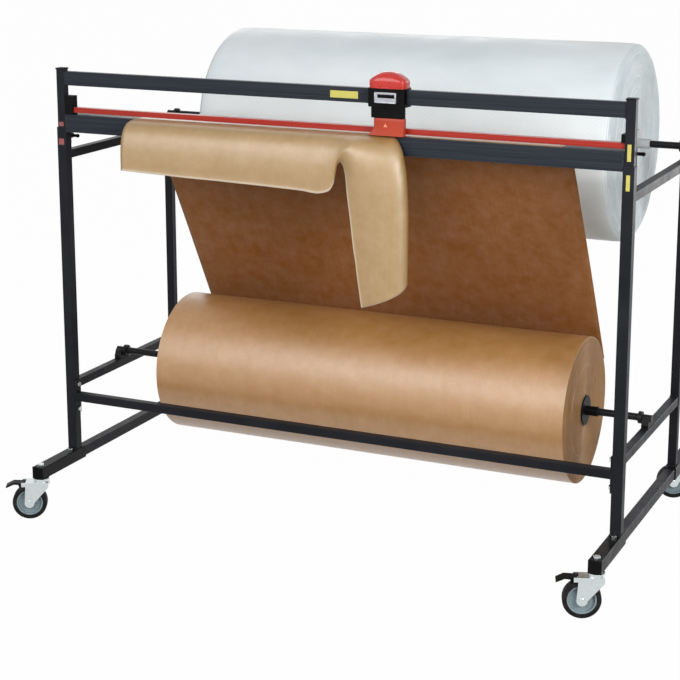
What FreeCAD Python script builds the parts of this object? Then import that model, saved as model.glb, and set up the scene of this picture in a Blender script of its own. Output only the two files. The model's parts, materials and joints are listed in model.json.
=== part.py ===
import FreeCAD, Part
import math
import os
import re

import Sketcher
from FreeCAD import Rotation, Vector

# Mobile cutting stand for a wide roll of wrapping paper and a roll of bubble film.
# Millimetres. +X runs along the rolls to the operator's right, +Y from the operator
# to the back, +Z up. The origin is on the floor, under the middle of the outline box.

SIZES = {
    # Where the stand lies in its own outline box
    "frame_mid_x": 33.0,
    "front_face_y": -347.0,
    # Side frames
    "stand_wide": 1700.0,
    "post_side": 30.0,
    "post_wall": 2.0,
    "tube_corner": 2.5,
    "post_top": 1130.0,
    "rear_post_side": 25.0,
    "rear_post_wall": 2.0,
    "rear_post_drop": 55.0,
    "side_span": 567.0,
    "rail_side": 25.0,
    "rail_wall": 2.0,
    "upper_rail_drop": 38.0,
    "lower_rail_rise": 187.0,
    # Cross rail and its bolted end plates
    "cross_rail_rise": 151.0,
    "plate_thick": 4.0,
    "plate_wide": 26.0,
    "plate_high": 100.0,
    "plate_bolt_gap": 76.0,
    # Feet
    "foot_level": 158.0,
    "foot_bar_side": 30.0,
    "foot_bar_wall": 2.0,
    "sleeve_side": 36.0,
    "sleeve_wall": 2.8,
    "foot_reach_front": 185.0,
    "foot_reach_rear": 183.0,
    "sleeve_past_post": 15.0,
    "end_cap_thick": 5.0,
    "end_cap_round": 3.0,
    "sleeve_bolt_gap": 12.0,
    # Fasteners
    "small_bolt_radius": 4.0,
    "small_head_radius": 7.5,
    "small_head_high": 5.3,
    "king_bolt_radius": 5.0,
    "king_head_radius": 9.8,
    "king_head_high": 6.4,
    "nut_high": 6.0,
    "bolt_room": 0.25,
    "cross_bolt_long": 14.0,
    # Casters
    "wheel_radius": 50.0,
    "wheel_trail": 35.0,
    "tyre_wide": 30.0,
    "tyre_round": 4.0,
    "rim_radius": 38.0,
    "rim_wide": 26.0,
    "rim_thick": 4.0,
    "hub_radius": 12.0,
    "hub_wide": 33.0,
    "hub_web": 7.0,
    "wheel_axle_radius": 4.0,
    "fork_gap": 35.0,
    "fork_plate": 2.5,
    "fork_crown_low": 106.0,
    "fork_crown_high": 112.0,
    "fork_foot_radius": 14.0,
    "race_radius": 21.0,
    "head_radius": 22.5,
    "head_thick": 4.0,
    "swivel_room": 0.2,
    "king_bolt_setback": 20.0,
    "front_left_turn": 208.0,
    "front_right_turn": 200.0,
    "rear_left_turn": 196.0,
    "rear_right_turn": 198.0,
    "pedal_wide": 30.0,
    "pedal_thick": 5.0,
    "pedal_reach": 50.0,
    "pedal_knuckle_radius": 5.0,
    "pedal_knuckle_room": 0.4,
    "pedal_pin_ahead": 52.0,
    "pedal_pin_z": 105.0,
    "pedal_pin_radius": 2.5,
    "brake_pad_ahead": 12.0,
    "brake_pad_drop": 7.9,
    # Roll axles and their open holders
    "axle_radius": 10.0,
    "axle_room": 0.05,
    "axle_end_inset": 2.0,
    "holder_thick": 20.0,
    "holder_lip": 4.0,
    "paper_axle_y": 290.0,
    "paper_axle_rise": 24.0,
    "paper_holder_wide": 50.0,
    "film_axle_back": 10.0,
    "film_axle_rise": 18.0,
    "film_holder_drop": 25.0,
    "film_holder_wall": 12.0,
    "collar_radius": 17.0,
    "collar_thick": 10.0,
    "collar_room": 3.0,
    # Rolls
    "paper_radius": 205.0,
    "paper_wide": 1250.0,
    "paper_offset_x": 35.0,
    "paper_core_radius": 45.0,
    "paper_core_wall": 7.0,
    "film_radius": 286.0,
    "film_wide": 1280.0,
    "film_offset_x": 49.0,
    "film_wrap_thick": 4.0,
    "film_core_radius": 40.0,
    "film_core_wall": 4.0,
    "plug_long": 30.0,
    "plug_flange_thick": 4.0,
    "plug_flange_lip": 3.5,
    "plug_boss_radius": 13.5,
    "plug_boss_long": 34.0,
    # Uprights and the guide rail across them
    "upright_side": 25.0,
    "upright_wall": 2.0,
    "upright_past_guide": 5.0,
    "upright_insert": 220.0,
    "cap_side": 27.0,
    "cap_high": 4.0,
    "guide_deep": 20.0,
    "guide_high": 40.0,
    "guide_wall": 2.0,
    "guide_rise": 124.0,
    # Cutting beam, pressure rail and their ends
    "beam_deep": 80.0,
    "beam_high": 50.0,
    "beam_rise": 37.0,
    "beam_wall": 3.0,
    "beam_skin": 9.0,
    "groove_middle": 6.0,
    "groove_wide": 3.0,
    "groove_deep": 5.0,
    "beam_end_room": 0.5,
    "slot_high": 6.0,
    "pressure_rail_front": 10.0,
    "pressure_rail_deep": 20.0,
    "pressure_rail_high": 15.0,
    "left_block_long": 26.0,
    "left_block_high": 54.0,
    "right_block_long": 10.0,
    "right_block_high": 22.0,
    "block_deep": 25.0,
    # Clamps that hold the uprights in the posts
    "tab_thick": 3.0,
    "tab_below": 50.0,
    "tab_above": 46.0,
    "clamp_below": 30.0,
    "clamp_above": 27.0,
    "boss_radius": 8.0,
    "boss_long": 8.0,
    "clamp_thread_radius": 4.0,
    "thread_room": 0.05,
    "clamp_tip_room": 0.3,
    "lever_hub_radius": 8.0,
    "lever_hub_long": 15.0,
    "lever_arm_radius": 4.5,
    "lever_reach": 24.0,
    # Paper, thickened from its real tenth of a millimetre
    "sheet_thick": 0.8,
    "sheet_room": 0.3,
    "cut_gap": 1.7,
    "flap_bend": 60.0,
    "flap_run": 15.0,
    "flap_drop": 134.0,
    "flap_right_x": 36.0,
    "tail_left_x": 86.0,
    "tail_right_x": 262.0,
    "tail_tip_x": 136.0,
    "tail_tip_drop": 452.0,
    "tail_heel_drop": 385.0,
    # Carriage
    "carriage_x": 186.0,
    "carriage_wide": 105.0,
    "carriage_front": 18.0,
    "carriage_back": 40.0,
    "dome_over_guide": 3.0,
    "dome_high": 43.0,
    "dome_wall": 3.0,
    "dome_arch": 74.0,
    "dome_edge": 6.0,
    "body_corner": 10.0,
    "waist_drop": 46.0,
    "waist_left": 43.0,
    "waist_corner": 8.0,
    "shoe_rise": 50.0,
    "shoe_room": 2.5,
    "shoe_left": 35.0,
    "shoe_right": 51.0,
    "shoe_back": 4.0,
    "shoe_corner": 3.0,
    "shoe_foot_left": 51.0,
    "shoe_foot_high": 10.0,
    "guide_room": 1.0,
    "cheek_half": 44.0,
    "cheek_high": 18.0,
    "cheek_wall": 6.0,
    "roller_radius": 7.0,
    "roller_wide": 17.0,
    "roller_spread": 60.0,
    "roller_pin_radius": 2.0,
    "roller_lift": 0.2,
    "blade_radius": 24.0,
    "blade_thick": 0.6,
    "blade_dip": 3.5,
    "blade_pin_radius": 3.0,
    "blade_boss_radius": 6.0,
    "spin_room": 0.05,
    "label_wide": 62.0,
    "label_high": 28.0,
    "label_drop": 35.0,
    "label_thick": 0.8,
}

# Heights and places that follow from those sizes
PLACES = {
    "lower_rail_low": "foot_level + lower_rail_rise",
    "rear_post_top": "post_top - rear_post_drop",
    "upper_rail_low": "rear_post_top - upper_rail_drop",
    "cross_rail_low": "foot_level + cross_rail_rise",
    "rear_face": "post_side + side_span",
    "rear_back": "rear_face + rear_post_side",
    "paper_axle_z": "lower_rail_low + rail_side + paper_axle_rise",
    "film_axle_y": "rear_back + film_axle_back",
    "film_axle_z": "rear_post_top + film_axle_rise",
    "beam_top": "post_top + beam_rise",
    "guide_top": "beam_top + guide_rise",
    "upright_top": "guide_top + upright_past_guide",
    "clamp_low_z": "post_top - clamp_below",
    "clamp_high_z": "post_top + clamp_above",
    "tab_low": "post_top - tab_below",
    "tab_top": "post_top + tab_above",
    "flap_low": "beam_top - flap_drop",
    "tail_tip_z": "beam_top - tail_tip_drop",
    "tail_heel_z": "beam_top - tail_heel_drop",
    "dome_low": "guide_top + dome_over_guide",
    "carriage_top": "dome_low + dome_high",
    "waist_z": "guide_top - waist_drop",
    "label_low": "guide_top - label_drop",
    "shoe_top": "beam_top + shoe_rise",
    "shoe_low": "beam_top + shoe_room",
}

LEFT, RIGHT = -1, 1
FACING = {"+Z": Rotation(), "-Z": Rotation(Vector(1, 0, 0), 180),
          "+X": Rotation(Vector(0, 1, 0), 90), "-X": Rotation(Vector(0, 1, 0), -90),
          "+Y": Rotation(Vector(1, 0, 0), -90), "-Y": Rotation(Vector(1, 0, 0), 90)}

doc = FreeCAD.newDocument("CuttingStand")
sheet = doc.addObject("Spreadsheet::Sheet", "Sizes")
for row, (name, size) in enumerate(SIZES.items(), 1):
    sheet.set(f"A{row}", name)
    sheet.set(f"B{row}", str(size))
    sheet.setAlias(f"B{row}", name)
doc.recompute()
nodes = []


# ---- Expressions and places -------------------------------------------------------

def linked(expression):
    """The expression with its places written out and each size pointing at its cell."""
    def spelled(match):
        word = match[0]
        if word in PLACES:
            return f"({linked(PLACES[word])})"
        return f"Sizes.{word}" if word in SIZES else word
    return re.sub(r"[a-z_]\w*", spelled, expression)


def value(expression):
    return float(sheet.evalExpression(linked(expression)))


def bind(item, **expressions):
    for name, expression in expressions.items():
        item.setExpression(name, linked(expression))


def put(item, x, y, z, facing="+Z"):
    """Place an item: fixed direction, position worked out from the sheet."""
    item.Placement = FreeCAD.Placement(Vector(value(x), value(y), value(z)), FACING[facing])
    for name, expression in (("x", x), ("y", y), ("z", z)):
        item.setExpression(f"Placement.Base.{name}", linked(expression))
    return item


def node(item, label):
    item.Label = label
    nodes.append(item)
    return item


def at_x(side, inward=0):
    """X of a side frame's outer face, or of a place that far inward of it."""
    return f"frame_mid_x + {side} * (stand_wide / 2 - ({inward}))"


def at_y(behind):
    """Y of a place that far behind the front posts' front faces."""
    return f"front_face_y + ({behind})"


POST_X = "post_side / 2"
POST_Y = "post_side / 2"
REAR_POST_Y = "rear_face + rear_post_side / 2"
FOOT_END = "rear_back + foot_reach_rear"
SLEEVE_LOW = "(foot_level - sleeve_side)"
INNER_X = "(stand_wide / 2 - post_side)"
UPRIGHT_GAP = "(post_side - upright_side) / 2"
UPRIGHT_INNER = f"(stand_wide / 2 - post_side + {UPRIGHT_GAP})"
CASTERS = {"front_left": (LEFT, "king_bolt_setback - foot_reach_front"),
           "front_right": (RIGHT, "king_bolt_setback - foot_reach_front"),
           "rear_left": (LEFT, f"{FOOT_END} - king_bolt_setback"),
           "rear_right": (RIGHT, f"{FOOT_END} - king_bolt_setback")}
SLEEVE_BOLTS = ("0 - sleeve_bolt_gap", "rear_back + sleeve_bolt_gap")


# ---- Sketches and features --------------------------------------------------------

def new_body(label):
    return doc.addObject("PartDesign::Body", label)


def new_sketch(owner, role):
    made = owner.newObject("Sketcher::SketchObject", f"{owner.Name}_sketch")
    plane = next(f for f in owner.Origin.OriginFeatures if f.Role == role)
    made.AttachmentSupport = (plane, [""])
    made.MapMode = "FlatFace"
    return made


def fix_point(sketch, geometry, point, x, y):
    for kind, expression in (("DistanceX", x), ("DistanceY", y)):
        index = sketch.addConstraint(
            Sketcher.Constraint(kind, -1, 1, geometry, point, value(expression)))
        sketch.setExpression(f"Constraints[{index}]", linked(expression))


def outline(sketch, corners):
    """A closed outline of straight lines through corners given as expressions."""
    first = sketch.GeometryCount
    spots = [Vector(value(x), value(y), 0) for x, y in corners]
    for here, there in zip(spots, spots[1:] + spots[:1]):
        sketch.addGeometry(Part.LineSegment(here, there), False)
    for number, (x, y) in enumerate(corners):
        before = first + (number - 1) % len(corners)
        sketch.addConstraint(Sketcher.Constraint("Coincident", before, 2, first + number, 1))
        fix_point(sketch, first + number, 1, x, y)


def box_outline(sketch, wide, high, x="0", y="0"):
    """A rectangle about a centre."""
    outline(sketch, [(f"{x} - ({wide}) / 2", f"{y} - ({high}) / 2"),
                     (f"{x} + ({wide}) / 2", f"{y} - ({high}) / 2"),
                     (f"{x} + ({wide}) / 2", f"{y} + ({high}) / 2"),
                     (f"{x} - ({wide}) / 2", f"{y} + ({high}) / 2")])


def ring_outline(sketch, radius, x="0", y="0"):
    first = sketch.addGeometry(
        Part.Circle(Vector(value(x), value(y), 0), Vector(0, 0, 1), value(radius)), False)
    fix_point(sketch, first, 3, x, y)
    index = sketch.addConstraint(Sketcher.Constraint("Radius", first, value(radius)))
    sketch.setExpression(f"Constraints[{index}]", linked(radius))


def pad(owner, sketch, length, reverse=False, middle=False):
    made = owner.newObject("PartDesign::Pad", f"{owner.Name}_pad")
    made.Profile = sketch
    made.Midplane = middle
    made.Reversed = reverse
    bind(made, Length=length)
    return made


def pocket(owner, sketch, length, reverse=False, middle=False):
    """A cut that has to take material away."""
    doc.recompute()
    before = owner.Shape.Volume
    made = owner.newObject("PartDesign::Pocket", f"{owner.Name}_pocket")
    made.Profile = sketch
    made.Midplane = middle
    made.Reversed = reverse
    bind(made, Length=length)
    doc.recompute()
    if owner.Shape.Volume > before - 1e-3:
        raise RuntimeError(f"{owner.Label}: a pocket cuts nothing")
    return made


def revolve(owner, sketch, axis):
    made = owner.newObject("PartDesign::Revolution", f"{owner.Name}_turn")
    made.Profile = sketch
    made.ReferenceAxis = (sketch, [axis])
    made.Angle = 360
    return made


def turned(label, axis, profile):
    """A body turned about its own X, Y or Z. The profile's points are (along, radius)."""
    made = new_body(label)
    sketch = new_sketch(made, "XZ_Plane" if axis == "Z" else "XY_Plane")
    outline(sketch, profile if axis == "X" else [(radius, along) for along, radius in profile])
    revolve(made, sketch, "H_Axis" if axis == "X" else "V_Axis")
    return made


def ring_profile(start, length, inner, outer):
    return [(start, inner), (f"{start} + ({length})", inner),
            (f"{start} + ({length})", outer), (start, outer)]


def square_tube(label, axis, side, wall, length, high=None):
    """A tube from its own origin along +X, +Y or +Z, centred on that axis, with soft
    outer corners."""
    role = {"X": "YZ_Plane", "Y": "XZ_Plane", "Z": "XY_Plane"}[axis]
    high = high or side
    made = new_body(label)
    sketch = new_sketch(made, role)
    box_outline(sketch, side, high)
    box_outline(sketch, f"{side} - 2 * {wall}", f"{high} - 2 * {wall}")
    pad(made, sketch, length, reverse=axis == "Y")
    reach = Vector(value(side), value(high)).Length / 2
    round_edges(made, "tube_corner", lambda edge: edge.Length > 2 * reach
                and edge.Curve.Location.cross(edge.Curve.Direction).Length > reach - 1e-3)
    return made


def drill(owner, role, radius, spots, length, reverse=False, middle=True):
    """Round holes square to one of the body's own planes."""
    sketch = new_sketch(owner, role)
    for x, y in spots:
        ring_outline(sketch, radius, x, y)
    pocket(owner, sketch, length, reverse, middle)


def round_edges(owner, radius, wanted):
    """Fillet the edges that the test picks."""
    doc.recompute()
    tip = owner.Tip
    names = [f"Edge{n}" for n, edge in enumerate(tip.Shape.Edges, 1) if wanted(edge)]
    made = owner.newObject("PartDesign::Fillet", f"{owner.Name}_round")
    made.Base = (tip, names)
    bind(made, Radius=radius)
    return made


def box(label, x, y, z, wide, deep, high):
    """A block from its lowest corner."""
    made = doc.addObject("Part::Box", label)
    bind(made, Length=wide, Width=deep, Height=high)
    return put(made, x, y, z)


def rod(label, x, y, z, radius, length, facing="+Z"):
    made = doc.addObject("Part::Cylinder", label)
    bind(made, Radius=radius, Height=length)
    return put(made, x, y, z, facing)


def joined(label, pieces):
    made = doc.addObject("Part::MultiFuse", label)
    made.Shapes = pieces
    return made


def carved(label, base, tool):
    made = doc.addObject("Part::Cut", label)
    made.Base = base
    made.Tool = tool
    return made


def group(label, solids):
    """Like pieces that share one node and stay separate solids."""
    made = doc.addObject("Part::Compound", label)
    made.Links = solids
    return node(made, label)


def hex_bolt(label, x, y, z, facing, size, length):
    """A bolt whose head stands out along facing and whose shank runs the other way."""
    opposite = {"+": "-", "-": "+"}[facing[0]] + facing[1]
    head = doc.addObject("Part::Prism", f"{label}_head")
    head.Polygon = 6
    bind(head, Circumradius=f"{size}_head_radius", Height=f"{size}_head_high")
    put(head, x, y, z, facing)
    return joined(label, [head, rod(f"{label}_shank", x, y, z, f"{size}_bolt_radius", length,
                                    opposite)])


def hex_nut(label, x, y, z, facing, size):
    blank = doc.addObject("Part::Prism", f"{label}_blank")
    blank.Polygon = 6
    bind(blank, Circumradius=f"{size}_head_radius", Height="nut_high")
    put(blank, x, y, z, facing)
    return carved(label, blank, rod(f"{label}_bore", x, y, z, f"{size}_bolt_radius", "nut_high",
                                    facing))


# ---- Side frames ------------------------------------------------------------------

def front_posts():
    """Square posts. The inner wall is drilled for the cross rail's plates and the
    back wall for the lower clamp screw."""
    for side, word in ((LEFT, "left"), (RIGHT, "right")):
        post = square_tube(f"{word}_front_post", "Z", "post_side", "post_wall",
                           "post_top - foot_level")
        heights = [f"{PLATE_MIDDLE} {sign} plate_bolt_gap / 2 - foot_level" for sign in "+-"]
        drill(post, "YZ_Plane", "small_bolt_radius + bolt_room", [("0", z) for z in heights],
              "post_side", reverse=side == LEFT, middle=False)
        drill(post, "XZ_Plane", "clamp_thread_radius + bolt_room",
              [("0", "clamp_low_z - foot_level")], "post_side", middle=False)
        node(put(post, at_x(side, POST_X), at_y(POST_Y), "foot_level"), f"{word}_front_post")


def rear_posts():
    for side, word in ((LEFT, "left"), (RIGHT, "right")):
        post = square_tube(f"{word}_rear_post", "Z", "rear_post_side", "rear_post_wall",
                           "rear_post_top - foot_level")
        node(put(post, at_x(side, POST_X), at_y(REAR_POST_Y), "foot_level"),
             f"{word}_rear_post")


def side_rails():
    for level, low in (("upper", "upper_rail_low"), ("lower", "lower_rail_low")):
        rails = []
        for side in (LEFT, RIGHT):
            rail = square_tube(f"{level}_side_rail", "Y", "rail_side", "rail_wall", "side_span")
            rails.append(put(rail, at_x(side, POST_X), at_y("post_side"),
                             f"{low} + rail_side / 2"))
        group(f"{level}_side_rails", rails)


PLATE_MIDDLE = "(cross_rail_low + rail_side / 2)"


def cross_rail():
    """The low rail across the front, with a bolted plate at each end."""
    half = f"({INNER_X} - plate_thick)"
    rail = square_tube("lower_cross_rail", "X", "rail_side", "rail_wall", f"2 * {half}")
    node(put(rail, f"frame_mid_x - {half}", at_y(POST_Y), PLATE_MIDDLE), "lower_cross_rail")
    plates, bolts = [], []
    for side in (LEFT, RIGHT):
        plate = new_body("cross_rail_plate")
        sketch = new_sketch(plate, "YZ_Plane")
        box_outline(sketch, "plate_wide", "plate_high")
        for sign in "+-":
            ring_outline(sketch, "small_bolt_radius + bolt_room", "0",
                         f"0 {sign} plate_bolt_gap / 2")
            bolts.append(hex_bolt("cross_rail_bolt", at_x(side, "post_side + plate_thick"),
                                  at_y(POST_Y), f"{PLATE_MIDDLE} {sign} plate_bolt_gap / 2",
                                  "+X" if side == LEFT else "-X", "small", "cross_bolt_long"))
        pad(plate, sketch, "plate_thick", reverse=side == RIGHT)
        plates.append(put(plate, at_x(side, "post_side"), at_y(POST_Y), PLATE_MIDDLE))
    group("cross_rail_plates", plates)
    group("cross_rail_bolts", bolts)


# ---- Feet -------------------------------------------------------------------------

def foot_bars():
    """A square bar under each side frame, drilled through for its bolts."""
    long = f"{FOOT_END} + foot_reach_front - 2 * end_cap_thick"
    start = "0 - foot_reach_front + end_cap_thick"
    for side, word in ((LEFT, "left"), (RIGHT, "right")):
        bar = square_tube(f"{word}_foot_bar", "Y", "foot_bar_side", "foot_bar_wall", long)
        kings = [("0", f"{y} - ({start})") for place, y in CASTERS.values() if place == side]
        drill(bar, "XY_Plane", "king_bolt_radius + bolt_room", kings, "2 * foot_bar_side")
        smalls = [("0", f"{y} - ({start})") for y in SLEEVE_BOLTS]
        drill(bar, "XY_Plane", "small_bolt_radius + bolt_room", smalls, "2 * foot_bar_side")
        node(put(bar, at_x(side, POST_X), at_y(start), "foot_level - sleeve_side / 2"),
             f"{word}_foot_bar")


def foot_sleeves():
    """A square sleeve over each end of the foot bars, under its post, and its end cap."""
    front_long = "foot_reach_front + post_side + sleeve_past_post - end_cap_thick"
    rear_start = "rear_face - sleeve_past_post"
    rear_long = f"{FOOT_END} - end_cap_thick - ({rear_start})"
    sleeves, caps = [], []
    for side in (LEFT, RIGHT):
        for where, start, long, cap_y in (
                ("front", "0 - foot_reach_front + end_cap_thick", front_long,
                 "0 - foot_reach_front"),
                ("rear", rear_start, rear_long, f"{FOOT_END} - end_cap_thick")):
            sleeve = square_tube("foot_sleeve", "Y", "sleeve_side", "sleeve_wall", long)
            king = [y for name, (place, y) in CASTERS.items()
                    if place == side and name.startswith(where)][0]
            small = SLEEVE_BOLTS[0 if where == "front" else 1]
            drill(sleeve, "XY_Plane", "king_bolt_radius + bolt_room",
                  [("0", f"{king} - ({start})")], "2 * sleeve_side")
            drill(sleeve, "XY_Plane", "small_bolt_radius + bolt_room",
                  [("0", f"{small} - ({start})")], "2 * sleeve_side")
            sleeves.append(put(sleeve, at_x(side, POST_X), at_y(start),
                               "foot_level - sleeve_side / 2"))
            caps.append(end_cap(side, cap_y, where == "front"))
    group("foot_sleeves", sleeves)
    group("foot_end_caps", caps)


def end_cap(side, start, at_front):
    cap = new_body("foot_end_cap")
    sketch = new_sketch(cap, "XZ_Plane")
    box_outline(sketch, "sleeve_side", "sleeve_side")
    pad(cap, sketch, "end_cap_thick", reverse=True)
    outer = 0 if at_front else value("end_cap_thick")
    round_edges(cap, "end_cap_round",
                lambda edge: all(abs(v.Point.y - outer) < 1e-6 for v in edge.Vertexes))
    return put(cap, at_x(side, POST_X), at_y(start), "foot_level - sleeve_side / 2")


def foot_bolts():
    """Short bolts that hold the sleeves, and the long bolts that the casters turn on."""
    small, king = [], []
    for side in (LEFT, RIGHT):
        for y in SLEEVE_BOLTS:
            small.append(hex_bolt("sleeve_bolt", at_x(side, POST_X), at_y(y), "foot_level",
                                  "+Z", "small", "sleeve_side + nut_high"))
            small.append(hex_nut("sleeve_nut", at_x(side, POST_X), at_y(y), SLEEVE_LOW, "-Z",
                                 "small"))
    for side, y in CASTERS.values():
        king.append(hex_bolt("king_bolt", at_x(side, POST_X), at_y(y), "foot_level", "+Z",
                             "king", "foot_level - fork_crown_low + nut_high"))
        king.append(hex_nut("king_nut", at_x(side, POST_X), at_y(y),
                            "fork_crown_low - swivel_room", "-Z", "king"))
    group("sleeve_bolts", small)
    group("caster_king_bolts", king)


# ---- Casters ----------------------------------------------------------------------

RACE_HIGH = f"({SLEEVE_LOW} - head_thick - swivel_room)"


def caster_heads():
    """The fixed upper races, bolted under the sleeves."""
    heads = []
    for side, y in CASTERS.values():
        head = turned("caster_head", "Z", ring_profile("0", "head_thick",
                                                       "king_bolt_radius + bolt_room",
                                                       "head_radius"))
        heads.append(put(head, at_x(side, POST_X), at_y(y), f"{SLEEVE_LOW} - head_thick"))
    group("caster_heads", heads)


def turn_with(item, name, ahead="0", up="0"):
    """Place an item on a caster, ahead along its trail, and turn it with the caster."""
    side, y = CASTERS[name]
    turn = f"{name}_turn"
    item.Placement = FreeCAD.Placement(Vector(), Rotation(Vector(0, 0, 1), value(turn)))
    bind(item, **{"Placement.Base.x": f"{at_x(side, POST_X)} + ({ahead}) * cos({turn})",
                  "Placement.Base.y": f"{at_y(y)} + ({ahead}) * sin({turn})",
                  "Placement.Base.z": up,
                  "Placement.Rotation.Angle": turn})
    return item


def caster_fork(name):
    """Crown, lower race and two side plates that taper down to the wheel's axle. A
    braked fork's plates reach back as ears that hold the pedal's pin."""
    fork = new_body(f"{name}_fork")
    crown_end = "(wheel_trail + race_radius / 2)"
    sides = new_sketch(fork, "XZ_Plane")
    outline(sides, [("0 - race_radius", "fork_crown_high"),
                    ("0 - race_radius", "fork_crown_low - 8"),
                    ("wheel_trail - fork_foot_radius", "wheel_radius"),
                    ("wheel_trail + fork_foot_radius", "wheel_radius"),
                    (crown_end, "fork_crown_low - 8"), (crown_end, "fork_crown_high")])
    pad(fork, sides, "fork_gap + 2 * fork_plate", middle=True)
    feet = new_sketch(fork, "XZ_Plane")
    ring_outline(feet, "fork_foot_radius", "wheel_trail", "wheel_radius")
    pad(fork, feet, "fork_gap + 2 * fork_plate", middle=True)
    rear = crown_end
    if name.startswith("front"):
        rear = "(pedal_pin_ahead + pedal_knuckle_radius)"
        ears = new_sketch(fork, "XZ_Plane")
        outline(ears, [("wheel_trail", "pedal_pin_z - pedal_knuckle_radius"),
                       (rear, "pedal_pin_z - pedal_knuckle_radius"),
                       (rear, "fork_crown_high"), ("wheel_trail", "fork_crown_high")])
        pad(fork, ears, "fork_gap + 2 * fork_plate", middle=True)
    room = new_sketch(fork, "XZ_Plane")
    outline(room, [("0 - 2 * race_radius", "0"), (f"{rear} + race_radius", "0"),
                   (f"{rear} + race_radius", "2 * fork_crown_high"),
                   (crown_end, "2 * fork_crown_high"), (crown_end, "fork_crown_low"),
                   ("0 - 2 * race_radius", "fork_crown_low")])
    pocket(fork, room, "fork_gap", middle=True)
    race = new_sketch(fork, "XZ_Plane")
    outline(race, [("0", "fork_crown_high - 1"), ("race_radius", "fork_crown_high - 1"),
                   ("race_radius", RACE_HIGH), ("0", RACE_HIGH)])
    revolve(fork, race, "V_Axis")
    bolt_hole = new_sketch(fork, "XY_Plane")
    ring_outline(bolt_hole, "king_bolt_radius + spin_room")
    pocket(fork, bolt_hole, "2 * foot_level", middle=True)
    drill(fork, "XZ_Plane", "wheel_axle_radius", [("wheel_trail", "wheel_radius")],
          "2 * fork_gap")
    if name.startswith("front"):
        drill(fork, "XZ_Plane", "pedal_pin_radius", [("pedal_pin_ahead", "pedal_pin_z")],
              "2 * fork_gap")
    return fork


def wheel_axle(name):
    """Axle bolt through the fork, with a round head and a nut."""
    half = "(fork_gap / 2 + fork_plate)"
    axle = turned(f"{name}_axle", "Y",
                  [(f"0 - {half} - 3", "0"), (f"{half} + 4", "0"), (f"{half} + 4", "7"),
                   (half, "7"), (half, "wheel_axle_radius"), (f"0 - {half}", "wheel_axle_radius"),
                   (f"0 - {half}", "7"), (f"0 - {half} - 3", "7")])
    return turn_with(axle, name, "wheel_trail", "wheel_radius")


def caster_wheel(name):
    rim = "(rim_radius - rim_thick)"
    bore = "(wheel_axle_radius + spin_room)"
    hub = turned(f"{name}_wheel_hub", "Y",
                 [("0 - hub_wide / 2", bore), ("hub_wide / 2", bore),
                  ("hub_wide / 2", "hub_radius"), ("hub_web / 2", "hub_radius + 2"),
                  ("hub_web / 2", rim), ("rim_wide / 2", rim), ("rim_wide / 2", "rim_radius"),
                  ("0 - rim_wide / 2", "rim_radius"), ("0 - rim_wide / 2", rim),
                  ("0 - hub_web / 2", rim), ("0 - hub_web / 2", "hub_radius + 2"),
                  ("0 - hub_wide / 2", "hub_radius")])
    node(turn_with(hub, name, "wheel_trail", "wheel_radius"), f"{name}_wheel_hub")
    tyre = turned(f"{name}_tyre", "Y",
                  ring_profile("0 - tyre_wide / 2", "tyre_wide", "rim_radius", "wheel_radius"))
    tread = value("wheel_radius")
    round_edges(tyre, "tyre_round", lambda edge: abs(getattr(edge.Curve, "Radius", 0) - tread)
                < 1e-6 and len(edge.Vertexes) == 1)
    node(turn_with(tyre, name, "wheel_trail", "wheel_radius"), f"{name}_tyre")


def pedal_pin(name):
    half = "(fork_gap / 2 + fork_plate)"
    pin = turned(f"{name}_pedal_pin", "Y", [(f"0 - {half}", "0"), (half, "0"),
                                            (half, "pedal_pin_radius"),
                                            (f"0 - {half}", "pedal_pin_radius")])
    return turn_with(pin, name, "pedal_pin_ahead", "pedal_pin_z")


def brake_pedal(name):
    """A toe lever on a pin between the fork's ears. Pressed down, its pad comes down
    on the tyre."""
    pedal = new_body(f"{name}_brake_pedal")
    arm = new_sketch(pedal, "XZ_Plane")
    outline(arm, [("0", "0 - pedal_knuckle_radius"),
                  ("brake_pad_ahead - 3", "0 - brake_pad_drop"),
                  ("brake_pad_ahead", "0 - brake_pad_drop"),
                  ("brake_pad_ahead + 2", "0"), ("0.55 * pedal_reach", "1"),
                  ("pedal_reach", "0 - 4 - pedal_thick"), ("pedal_reach", "0 - 4"),
                  ("0.6 * pedal_reach", "1 + pedal_thick"), ("0", "pedal_knuckle_radius")])
    pad(pedal, arm, "pedal_wide", middle=True)
    knuckle = new_sketch(pedal, "XZ_Plane")
    ring_outline(knuckle, "pedal_knuckle_radius")
    pad(pedal, knuckle, "fork_gap - 2 * pedal_knuckle_room", middle=True)
    drill(pedal, "XZ_Plane", "pedal_pin_radius + spin_room", [("0", "0")], "2 * fork_gap")
    node(turn_with(pedal, name, "pedal_pin_ahead", "pedal_pin_z"), f"{name}_brake_pedal")


def casters():
    caster_heads()
    for name in CASTERS:
        pieces = [turn_with(caster_fork(name), name), wheel_axle(name)]
        if name.startswith("front"):
            pieces.append(pedal_pin(name))
            brake_pedal(name)
        group(f"{name}_caster_fork", pieces)
        caster_wheel(name)


# ---- Rolls and their axles ---------------------------------------------------------

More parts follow.
